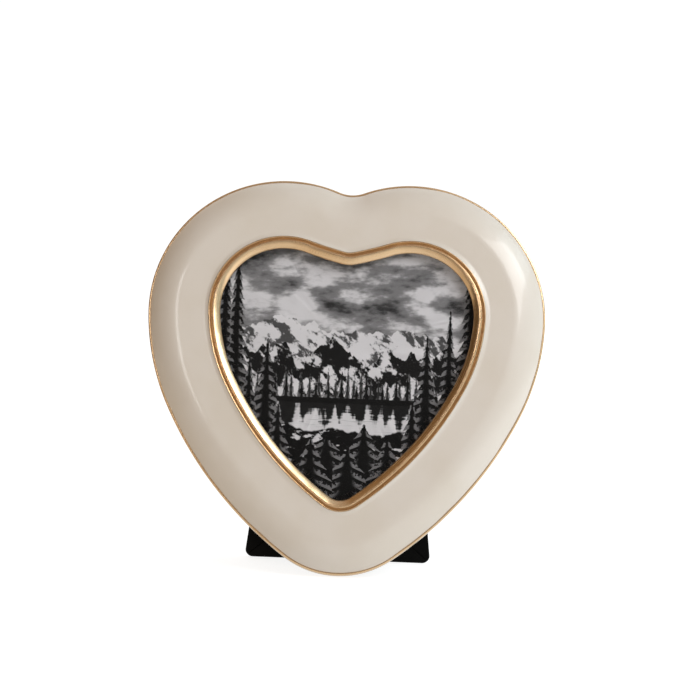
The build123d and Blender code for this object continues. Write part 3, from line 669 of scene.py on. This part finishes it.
class Finish(Nodes):
    """A material with a Principled shader; its constants are set on the shader's own sockets."""

    def __init__(self, name, constants):
        self.material = bpy.data.materials.new(name)
        self.material.use_nodes = True
        super().__init__(self.material.node_tree)
        self.shader = self.tree.nodes["Principled BSDF"]
        for socket, value in constants.items():
            self.shader.inputs[socket].default_value = value

    def feed(self, **strands):
        """Links strands to the shader's sockets, given by their short names. The result is the material."""
        names = {"base": "Base Color", "glow": "Emission Color"}
        for short, strand in strands.items():
            self.tree.links.new(strand.socket, self.shader.inputs[names.get(short, short.capitalize())])
        return self.material

    def scaled(self, where, stretch):
        """Coordinates turned from metres into millimetres, and stretched along each axis."""
        scale = tuple(s / MM for s in stretch)
        return self.node("ShaderNodeVectorMath", {"operation": "MULTIPLY"}, {0: where, 1: scale})

    def place(self, *stretch):
        """The piece's own coordinates."""
        return self.scaled(self.node("ShaderNodeTexCoord", outlet="Object"), stretch or (1.0, 1.0, 1.0))

    def along(self, along=1.0, over=1.0):
        """The way along a ring and over its section."""
        return self.scaled(self.node("ShaderNodeUVMap", {"uv_map": RING_UV}), (along, over, 0.0))

    def parts(self, where):
        """The X of some coordinates; its outlets are X, Y and Z."""
        return self.node("ShaderNodeSeparateXYZ", sockets={0: where})

    def noise(self, where, scale=1.0, detail=2.0, roughness=0.5):
        sockets = {"Vector": where, "Scale": scale, "Detail": detail, "Roughness": roughness}
        return self.node("ShaderNodeTexNoise", {"noise_dimensions": "3D"}, sockets)

    def field(self, x, y, z=0.0, *character):
        """Noise at a place given by three numbers or strands."""
        return self.noise(self.node("ShaderNodeCombineXYZ", sockets={0: x, 1: y, 2: z}), *character)

    def wander(self, along, detail=2.0, roughness=0.5):
        """Noise on a line."""
        sockets = {"W": along, "Scale": 1.0, "Detail": detail, "Roughness": roughness}
        return self.node("ShaderNodeTexNoise", {"noise_dimensions": "1D"}, sockets)

    def chance(self, cell):
        """One random number for each whole number."""
        return self.node("ShaderNodeTexWhiteNoise", {"noise_dimensions": "1D"}, {"W": cell})

    def relief(self, height, depth, strength):
        """A bump this many millimetres deep."""
        return self.node("ShaderNodeBump", sockets={"Height": height, "Distance": depth * MM, "Strength": strength})


def enamel_finish(colours):
    """Glossy cream enamel: cloudy warm patches, fine flecks and a faint unevenness of the glaze."""
    finish = Finish("cream_enamel", {"Coat Weight": 0.45, "Coat Roughness": 0.09, "Coat IOR": 1.5})
    own = finish.place()
    cloud = finish.fade(finish.noise(own, 0.045, 3.0), 0.35, 0.7)
    fleck = finish.fade(finish.noise(own, 1.5, 2.0, 0.6), 0.6, 0.78)
    clouded = finish.mix(cloud * 0.5, colours.enamel, colours.enamel_thin)
    uneven = finish.noise(own, 0.22) + 0.25 * finish.noise(own, 1.4, 1.0)
    return finish.feed(
        base=finish.mix(fleck * 0.22, clouded, colours.enamel_thin),
        roughness=0.3 + cloud * 0.08,
        normal=finish.relief(uneven, 0.05, 0.6),
    )


def gilt_finish(colours, shelf=None):
    """Burnished gilt: faint streaks along the ring, duller patches, and fine scratches that follow it.

    Painted shade darkens the shelf, a band between two distances in millimetres over the ring's section."""
    finish = Finish("burnished_gilt", {"Metallic": 1.0})
    streak = finish.noise(finish.along(0.03, 1.6))
    patch = finish.noise(finish.along(0.07, 0.3), detail=3.0)
    scratch = finish.noise(finish.along(0.06, 7.0))
    dull = finish.fade(streak * 0.5 + patch * 0.6, 0.45, 0.8)
    base = finish.mix(dull * 0.6, colours.gilt, colours.gilt_worn)
    # The shelf's band is mixed towards the shelf gilt, as painted shade
    if shelf:
        over = finish.parts(finish.along()).outlet("Y")
        begun = finish.fade(over, shelf[0] - 0.05, shelf[0] + 0.1)
        unended = finish.fade(over, shelf[1] + 0.05, shelf[1] - 0.1)
        base = finish.mix(begun * unended * 0.9, base, colours.gilt_shelf_shade)
    return finish.feed(
        base=base,
        roughness=0.2 + dull * 0.1 + scratch * 0.07,
        normal=finish.relief(scratch * 0.6 + streak, 0.012, 0.35),
    )


# Satin metals: bright and dull colour; the dull patches' noise (scale, detail, roughness), its fade and its share;
# the grain's stretch along each axis and its noise's roughness; the surface's roughness, what patches add to it and
# what grain adds; and the grain's depth in millimetres and its strength.
METALS = {
    "gilt_sheet": (
        ("gilt", "gilt_worn"), (0.18, 4.0, 0.6), (0.35, 0.7), 0.55,
        (0.08, 2.4, 2.4), 0.5, (0.3, 0.14, 0.08), (0.02, 0.4),
    ),
    "brushed_brass": (
        ("brass", "brass_dull"), (0.3, 4.0, 0.65), (0.45, 0.72), 0.6,
        (0.12, 5.0, 5.0), 0.6, (0.26, 0.2, 0.1), (0.02, 0.5),
    ),
    "plated_steel": (
        ("steel", "brass_dull"), (0.9, 3.0, 0.5), (0.45, 0.75), 0.5,
        (3.0, 3.0, 3.0), 0.5, (0.28, 0.2, 0.0), (0.015, 0.4),
    ),
}


def metal_finish(colours, name):
    """Satin metal with dull patches and a fine grain: sheet, brushed brass or plated steel."""
    tones, patch, patch_fade, patch_share, stretch, grain_roughness, roughness, relief = METALS[name]
    finish = Finish(name, {"Metallic": 1.0})
    patches = finish.fade(finish.noise(finish.place(), *patch), *patch_fade)
    grain = finish.noise(finish.place(*stretch), roughness=grain_roughness)
    return finish.feed(
        base=finish.mix(patches * patch_share, *(getattr(colours, tone) for tone in tones)),
        roughness=roughness[0] + patches * roughness[1] + grain * roughness[2],
        normal=finish.relief(grain, *relief),
    )


def leatherette_finish(colours):
    """Black leatherette: rounded pebbles of grain with creases between them, and a soft sheen."""
    finish = Finish("black_leatherette", {"Specular IOR Level": 0.045})
    own = finish.place()
    sway = finish.noise(own, 0.8)
    cells = {"Vector": own, "Scale": 1.5, "Randomness": 1.0}
    pebble = finish.node("ShaderNodeTexVoronoi", {"feature": "DISTANCE_TO_EDGE"}, cells)
    grain = finish.fade(pebble, 0.0, 0.22)
    wear = finish.fade(finish.noise(own, 0.07, 3.0), 0.45, 0.75)
    worn = [min(1.0, c * 3.0 + 0.0015) for c in colours.leatherette]
    return finish.feed(
        base=finish.mix(wear * 0.5 + grain * 0.2, colours.leatherette, worn),
        roughness=0.5 - grain * 0.1 + sway * 0.1,
        normal=finish.relief(grain + sway * 0.5, 0.06, 0.7),
    )


def paper_finish(name, base_colour, fibre_scale, roughness):
    """Paper, card or board: fibres, faint clouds and a toothy surface."""
    finish = Finish(name, {"Specular IOR Level": 0.25})
    fibre = finish.noise(finish.place(fibre_scale, fibre_scale * 0.4, fibre_scale), 1.0, 4.0, 0.6)
    cloud = finish.noise(finish.place(), 0.12, 3.0)
    pale = [min(1.0, c * 1.35 + 0.004) for c in base_colour]
    return finish.feed(
        base=finish.mix(fibre * 0.6 + cloud * 0.4, base_colour, pale),
        roughness=roughness + fibre * 0.15,
        normal=finish.relief(fibre, 0.03, 0.5),
    )


def glass_finish():
    """Clear glass, seen only by its faint gloss: a mirror as strong as its Fresnel share, the rest see-through."""
    finish = Finish("clear_glass", {"Metallic": 1.0, "Roughness": 0.03, "Base Color": (0.93, 0.96, 0.95, 1.0)})
    gloss = finish.node("ShaderNodeFresnel", sockets={"IOR": 1.12})
    smear = finish.fade(finish.noise(finish.place(), 0.05, 3.0), 0.4, 0.75)
    finish.material.surface_render_method = "BLENDED"
    return finish.feed(alpha=gloss * (1.0 + smear * 0.3))


def pines(finish, right, up, base, spacing, tall, wing, width, seed):
    """A row of fir trees and the snow on them, as two masks.

    In each cell of the row stands a spire with a chance place and height, higher by wing times the square of its
    distance from the middle. Its sides are stepped by branches, and snow lies on the outer part of each step."""
    shift = seed * 7.31
    cell = (right / spacing + shift).floor()
    chance = finish.chance(cell + seed * 13.7)
    chance_place = finish.chance(cell + seed * 29.3)
    middle = (cell - shift + 0.5 + (chance_place - 0.5) * 0.5) * spacing
    aside = abs(right - middle)
    high = (tall + wing * middle * middle) * (0.6 + 0.4 * chance)
    rise = (up - base) / high
    tiers = (rise * high * 0.28 + chance * 5.0 + aside * 0.12).fraction()
    ragged = finish.field(right, up, 0.0, 0.9, 3.0, 0.6)
    spread = width * (1.0 - rise) * (0.6 + 0.45 * (1.0 - tiers)) + (ragged - 0.5) * 1.6
    body = finish.fade(spread - aside, -0.12, 0.22) * finish.fade(1.0 - rise, 0.0, 0.03)
    snow = finish.fade(ragged - tiers * 0.5, 0.2, 0.34) * finish.fade(aside / spread, 0.15, 0.5)
    return body, body * snow


def print_finish(colours):
    """A black and white print of a winter lake: clouds, snowy peaks, woods, bright water and tall dark firs.

    Its places are millimetres to the right and up the leant face of the frame, and each layer covers the last."""
    finish = Finish("lake_print", {"Specular IOR Level": 0.04, "Roughness": 0.45})
    fade, field, wander = finish.fade, finish.field, finish.wander
    right = finish.parts(finish.place())
    up = (right.outlet("Y") - TIP[1] / MM) * math.sin(LEAN) + right.outlet("Z") * math.cos(LEAN)

    def cover(under, value, mask):
        return under + (value - under) * mask

    def trees(under, shade, frost_shade, *row):
        wood, frost = pines(finish, right, up, *row)
        return cover(cover(under, shade, wood), frost_shade, frost * 0.6)

    cloud = field(right / 24.0, up / 11.0, 3.1, 1.0, 5.0, 0.6)
    tone = 0.36 + 0.52 * fade(cloud, 0.46, 0.6) - 0.24 * fade(cloud, 0.46, 0.32)
    for crest, swing, pitch, rock, share, seed in (
        (96.0, 17.0, 0.03, 0.2, 0.5, 2.3),
        (86.0, 15.0, 0.045, 0.05, 0.43, 7.9),
    ):
        line = crest + swing * (wander(right * pitch + seed, 5.0, 0.55) - 0.5) * 2.0
        crag = field(right / 7.0 + up / 9.0, up / 10.0 - right / 16.0, seed, 1.0, 5.0, 0.62)
        snow = fade(crag + (up - crest) * 0.006, share + 0.05, share - 0.03)
        tone = cover(tone, 0.94 + (rock - 0.94) * (1.0 - snow), fade(line - up, -0.15, 0.25))
    tone = trees(tone, 0.1, 0.5, 67.0, 3.4, 15.0, 0.0, 1.6, 1.0)
    tone = trees(tone, 0.02, 0.5, 65.0, 5.2, 15.0, 0.0, 2.3, 2.0)
    tone = cover(tone, 0.03, fade(68.5 - up, -0.2, 0.2))
    ripple = field(right / 17.0, up / 1.1, 5.0, 1.0, 3.0, 0.6)
    mirror = field(right / 4.0, up / 22.0, 9.0, 1.0, 3.0)
    shore = 66.0 + 0.8 * wander(right * 0.09 + 4.0)
    glint = fade(65.0 - up + (mirror - 0.5) * 26.0 + (ripple - 0.5) * 9.0, 1.5, 5.0)
    water = 0.06 + 0.86 * glint - 0.3 * fade(ripple, 0.56, 0.7) * glint
    tone = cover(tone, water, fade(shore - up, -0.1, 0.1))
    bank = 54.0 + 7.0 * (wander(right * 0.045 + 1.7, 4.0) - 0.45) * 2.0 + 0.004 * right * right
    drift = field(right / 6.5, up / 3.2, 2.0, 1.0, 4.0, 0.6)
    tone = cover(tone, 0.015 + 0.8 * fade(drift, 0.56, 0.62), fade(bank - up, -0.4, 0.5))
    tone = trees(tone, 0.015, 0.55, 44.0, 19.0, 14.0, 0.052, 9.0, 3.0)
    tone = trees(tone, 0.015, 0.55, 38.0, 13.0, 12.0, 0.046, 7.6, 4.0)
    grain = field(right / 0.35, up / 0.35, 1.0, 1.0, 1.0)
    tone = fade(tone + (grain - 0.5) * 0.1, 0.0, 1.0)
    tooth = finish.noise(finish.place(), 2.0)
    base = finish.mix(tone, colours.print_dark, colours.print_light)
    return finish.feed(base=base, normal=finish.relief(tooth, 0.01, 0.2))


def floor_finish():
    """Pale studio floor, barely uneven and nearly white to the camera.

    As a light it is dimmer to the left and the front, and warm on the left."""
    finish = Finish("studio_floor", {"Roughness": 0.85, "Specular IOR Level": 0.2, "Emission Strength": 1.4})
    cloud = finish.noise(finish.place(), 0.01)
    camera_ray = finish.node("ShaderNodeLightPath", outlet="Is Camera Ray")
    across = finish.parts(finish.place())
    lit = 0.36 + 0.64 * finish.fade(across, -200.0, 500.0)
    near = 0.4 + 0.6 * finish.fade(across.outlet("Y"), -800.0, -100.0)
    tinted = finish.mix(finish.fade(across, -200.0, 50.0), (1.0, 0.82, 0.54), (0.95, 1.0, 1.0))
    glow = finish.mix((lit * near).most(camera_ray * 0.614), (0.0, 0.0, 0.0), finish.mix(camera_ray, tinted, WHITE))
    return finish.feed(base=finish.mix(cloud, (0.3, 0.3, 0.3), (0.33, 0.33, 0.33)), glow=glow)


def dress(material, *nodes):
    """Gives packed nodes a finish."""
    for name in nodes:
        mesh = frame["nodes"][name].data
        mesh.materials.clear()
        mesh.materials.append(material)


def place_piece(piece, material, body, slot, *nodes):
    """Gives a new piece its finish and the body it moves with, and hides the nodes it stands for; the slot is not
    used.
    """
    piece.data.materials.append(material)
    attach(piece, body)
    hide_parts(*nodes)


class HEARTFRAME_OT_casting(Operator):
    """Gilt casting with its rounded rim"""

    bl_idname = "heartframe.casting"
    bl_label = "Gilt casting"

    def execute(self, context):
        scene = context.scene
        section = casting_section(scene.heart_moulding)
        path = heart_path(scene.heart_moulding)
        rim_start, rim_span, rim_low, reach = 20 * MM, 3 * MM, 5 * MM, 0.04 * MM
        near_rim = ramp(section[:, 0], rim_start, rim_span) * (section[:, 1] > rim_low)
        wave = hand_wave(path[2], (9, 14, 23, 31), seed=5) * near_rim * reach
        piece = put_ring("gilt_casting", section, path, -np.abs(wave))
        place_piece(piece, gilt_finish(scene.heart_colours), "frame", "gilt", "frame_casting")
        return {"FINISHED"}


class HEARTFRAME_OT_enamel(Operator):
    """Cream enamel over the moulding's dome"""

    bl_idname = "heartframe.enamel"
    bl_label = "Enamel face"

    def execute(self, context):
        scene = context.scene
        sizes = scene.heart_moulding
        section = enamel_section(sizes)
        path = heart_path(sizes)
        rim_start, rim_span = 19 * MM, 3 * MM
        near_rim = ramp(section[:, 0], rim_start, rim_span)
        wave = hand_wave(path[2], (8, 13, 21, 34), seed=3) * near_rim * sizes.hand_wave
        piece = put_ring("enamel_layer", section, path, wave)
        place_piece(piece, enamel_finish(scene.heart_colours), "frame", "enamel", "enamel_face")
        return {"FINISHED"}


class HEARTFRAME_OT_sight_ring(Operator):
    """Gilt sight ring round the picture"""

    bl_idname = "heartframe.sight_ring"
    bl_label = "Sight ring"

    def execute(self, context):
        scene = context.scene
        sizes, ring = scene.heart_moulding, scene.heart_sight_ring
        section = sight_ring_section(sizes, ring)
        path = heart_path(sizes)
        held, wave_share, lift_share, close = 1 * MM, 0.5, 0.4, 0.01 * MM
        free = ramp(section[:, 1], sizes.ledge_front, held)
        wave = hand_wave(path[2], (11, 17, 26, 40), seed=8) * free * sizes.hand_wave * wave_share
        lift = hand_wave(path[2], (9, 16, 29, 47), seed=12) * free * sizes.hand_wave * lift_share
        piece = put_ring("gilt_sight_ring", section, path, -np.abs(wave), lift)
        # The level shelf's span over the section, where the gilt gets painted shade
        level = np.isclose(section[:, 1], sizes.ledge_front + ring.shelf_rise, atol=close)
        shelf = distance_round(section)[:-1][level & (section[:, 0] > -ring.width / 2)] / MM
        finish = gilt_finish(scene.heart_colours, (shelf[0], shelf[-1]))
        place_piece(piece, finish, "frame", "gilt", "sight_bezel")
        return {"FINISHED"}


class HEARTFRAME_OT_picture(Operator):
    """Glass, print and backing card"""

    bl_idname = "heartframe.picture"
    bl_label = "Picture"

    def execute(self, context):
        scene = context.scene
        sizes, back, colours = scene.heart_moulding, scene.heart_back, scene.heart_colours
        glass_ease, paper_ease = 0.2 * MM, 0.02 * MM
        glass_rear = sizes.ledge_rear - back.glass
        glass = glass_rear, sizes.ledge_rear, back.panel_gap, glass_ease
        paper = glass_rear - back.paper, glass_rear, 2 * back.panel_gap, paper_ease
        place_piece(put_sheet("clear_pane", sizes, *glass), glass_finish(), "frame", "glass", "glass_pane")
        place_piece(put_sheet("lake_picture", sizes, *paper), print_finish(colours), "frame", "print", "photo_print")
        dress(paper_finish("grey_card", colours.card, 2.0, 0.8), "backing_card")
        return {"FINISHED"}


class HEARTFRAME_OT_back_panel(Operator):
    """Back board and its black cover"""

    bl_idname = "heartframe.back_panel"
    bl_label = "Back panel"

    def execute(self, context):
        scene = context.scene
        sizes, back, colours = scene.heart_moulding, scene.heart_back, scene.heart_colours
        piece = put_filled("back_panel_cover", sizes, panel_section(sizes, back), back.cover, 0.0)
        place_piece(piece, leatherette_finish(colours), "frame", "cover", "back_cover")
        dress(paper_finish("hardboard", colours.board, 1.2, 0.75), "back_board", "leg_board")
        return {"FINISHED"}


class HEARTFRAME_OT_back_hardware(Operator):
    """Back plate, its screws, and the turn buttons"""

    bl_idname = "heartframe.back_hardware"
    bl_label = "Back plate and turn buttons"

    def execute(self, context):
        colours = context.scene.heart_colours
        dress(metal_finish(colours, "gilt_sheet"), "back_plate")
        steel = metal_finish(colours, "plated_steel")
        dress(steel, "plate_screws", "turn_button_screws", "turn_button_washers")
        places = "upper_left", "upper_right", "lower_left", "lower_right"
        dress(metal_finish(colours, "brushed_brass"), *("turn_button_" + place for place in places))
        return {"FINISHED"}


class HEARTFRAME_OT_hinge(Operator):
    """Brass hinge of the easel leg"""

    bl_idname = "heartframe.hinge"
    bl_label = "Hinge"

    def execute(self, context):
        hinge = [name for name in frame["nodes"] if name.startswith("hinge_")]
        dress(metal_finish(context.scene.heart_colours, "brushed_brass"), *hinge)
        return {"FINISHED"}


class HEARTFRAME_OT_leg(Operator):
    """Easel leg, wrapped in black with mitred turned-in edges"""

    bl_idname = "heartframe.leg"
    bl_label = "Easel leg"

    def execute(self, context):
        back, colours = context.scene.heart_back, context.scene.heart_colours
        slope = OPEN - LEAN
        front = back.leg_front
        drop = standing(HINGE)[2] - (front - HINGE[2]) * math.sin(slope)
        low, high = HINGE[1] - drop / math.cos(slope), HINGE[1] - back.leg_top_drop
        section = leg_section(back)
        outline, fold = leg_outline(back, section[:, 0], low, high)
        height = section[:, 1] - fold[:, None] * section[:, 2] * back.mitre
        shear = (section[:, 1] - front) * math.tan(slope)
        flat = np.stack([outline[..., 0], outline[..., 1] + shear, height], -1)
        middle = (low + high) / 2
        inside = back.leg_rear + back.cover
        poles = [(0.0, middle + (pole - front) * math.tan(slope), pole) for pole in (back.leg_rear, inside)]
        piece = put_wrap("leg_wrap", standing(swung_open(flat)), *standing(swung_open(poles)))
        place_piece(piece, leatherette_finish(colours), "easel_leg", "cover", "leg_cover")
        dress(paper_finish("lining_paper", colours.lining, 1.6, 0.7), "leg_lining")
        return {"FINISHED"}


class HEARTFRAME_OT_stage(Operator):
    """Floor, soft studio light and camera"""

    bl_idname = "heartframe.stage"
    bl_label = "Studio"

    def execute(self, context):
        scene = context.scene
        scene.view_settings.view_transform = "Standard"
        self.floor()
        scene.world = self.surround(scene.heart_studio)
        for light in SOFT_LIGHTS:
            self.soft_light(*light)
        scene.camera = self.camera(scene.heart_studio)
        return {"FINISHED"}

    def floor(self):
        """A level square of grid points, a little under the table contact."""
        count, half_width, height = 9, 3.0, -0.1 * MM
        reach = np.linspace(-half_width, half_width, count)
        x, y = np.meshgrid(reach, reach, indexing="ij")
        faces = ring_faces(count, count, False)[: 1 - count]
        piece = put_mesh("studio_floor", np.stack([x, y, np.full_like(x, height)], -1), faces.tolist())
        piece.data.materials.append(floor_finish())

    def surround(self, studio):
        """White all round to the camera. As light, a backdrop behind and a dim room round the front.

        The room is dark and warm on the left, and lighter above and on the right, where it is cool too."""
        world = bpy.data.worlds.new("studio")
        world.use_nodes = True
        world.node_tree.nodes.clear()
        nodes = Nodes(world.node_tree)
        seen = nodes.node("ShaderNodeTexCoord", outlet="Generated")

        def towards(direction, low, high):
            terms = {0: seen, 1: Vector(direction).normalized()}
            near = nodes.node("ShaderNodeVectorMath", {"operation": "DOT_PRODUCT"}, terms, outlet="Value")
            return nodes.fade(near, low, high)

        behind = towards((-0.05, 1.0, 0.1), 0.36, 0.46)
        left = towards((-0.95, -0.25, 0.22), 0.1, 0.75)
        right = towards((1.0, -0.15, 0.1), 0.2, 0.8)
        overhead = towards((0.1, -0.1, 1.0), 0.4, 0.95)
        room = studio.ambient * (1.0 - studio.shade * left + studio.side * right + studio.above * overhead)
        tint = nodes.mix(right, nodes.mix(left, WHITE, WARM_SHADE), COOL_SIDE)
        strength = room + (studio.backdrop - room) * behind
        light = nodes.node("ShaderNodeBackground", sockets={"Color": tint, "Strength": strength})
        white = nodes.node("ShaderNodeBackground", sockets={"Color": (*WHITE, 1.0), "Strength": 1.05})
        camera_ray = nodes.node("ShaderNodeLightPath", outlet="Is Camera Ray")
        shown = nodes.node("ShaderNodeMixShader", sockets={0: camera_ray, 1: light, 2: white})
        nodes.node("ShaderNodeOutputWorld", sockets={"Surface": shown}, outlet=None)
        return world

    def soft_light(self, name, place, width, height, watts, roll, tint):
        """A rectangular area light aimed at the middle of the frame, and turned about its aim by some degrees."""
        light = bpy.data.lights.new(name, "AREA")
        light.shape = "RECTANGLE"
        light.size, light.size_y = width, height
        light.energy = watts
        light.color = tint
        middle = Vector((0.0, 0.0, 80 * MM))
        aim = middle - Vector(place)
        turn = aim.to_track_quat("-Z", "Y").to_matrix().to_4x4() @ Matrix.Rotation(math.radians(roll), 4, "Z")
        put_object(name, light).matrix_world = Matrix.Translation(place) @ turn

    def camera(self, studio):
        """A camera that looks along the level at its aim, raised by its elevation and rolled."""
        data = bpy.data.cameras.new("camera")
        data.sensor_width = 36.0
        data.lens = studio.lens
        camera = put_object("camera", data)
        turn = Matrix.Rotation(QUARTER - studio.elevation, 4, "X") @ Matrix.Rotation(studio.roll, 4, "Z")
        aim = Matrix.Translation((studio.aim_right, 0.0, studio.aim_height))
        camera.matrix_world = aim @ turn @ Matrix.Translation((0.0, 0.0, studio.distance))
        return camera


GROUPS = {
    "heart_moulding": MouldingSizes,
    "heart_sight_ring": SightRingSizes,
    "heart_back": BackSizes,
    "heart_colours": FinishColours,
    "heart_studio": StudioSetting,
}
OPERATORS = (
    HEARTFRAME_OT_casting,
    HEARTFRAME_OT_enamel,
    HEARTFRAME_OT_sight_ring,
    HEARTFRAME_OT_picture,
    HEARTFRAME_OT_back_panel,
    HEARTFRAME_OT_back_hardware,
    HEARTFRAME_OT_hinge,
    HEARTFRAME_OT_leg,
    HEARTFRAME_OT_stage,
)


class HEARTFRAME_PT_panel(Panel):
    """Sizes, colours and pieces of the frame"""

    bl_idname = "HEARTFRAME_PT_panel"
    bl_label = "Heart Frame"
    bl_space_type = "VIEW_3D"
    bl_region_type = "UI"
    bl_category = "Heart Frame"

    def draw(self, context):
        for operator in OPERATORS:
            self.layout.operator(operator.bl_idname)
        for name, group in GROUPS.items():
            column = self.layout.column()
            column.label(text=group.__doc__)
            for prop in group.__annotations__:
                column.prop(getattr(context.scene, name), prop)


def register():
    for name, group in GROUPS.items():
        bpy.utils.register_class(group)
        setattr(bpy.types.Scene, name, PointerProperty(type=group))
    for cls in (*OPERATORS, HEARTFRAME_PT_panel):
        bpy.utils.register_class(cls)


def unregister():
    for cls in (HEARTFRAME_PT_panel, *reversed(OPERATORS)):
        bpy.utils.unregister_class(cls)
    for name, group in reversed(GROUPS.items()):
        delattr(bpy.types.Scene, name)
        bpy.utils.unregister_class(group)


def main():
    """Registers the classes and builds every piece in order."""
    register()
    bpy.ops.heartframe.casting()
    bpy.ops.heartframe.enamel()
    bpy.ops.heartframe.sight_ring()
    bpy.ops.heartframe.picture()
    bpy.ops.heartframe.back_panel()
    bpy.ops.heartframe.back_hardware()
    bpy.ops.heartframe.hinge()
    bpy.ops.heartframe.leg()
    bpy.ops.heartframe.stage()


if __name__ == "__main__":
    main()
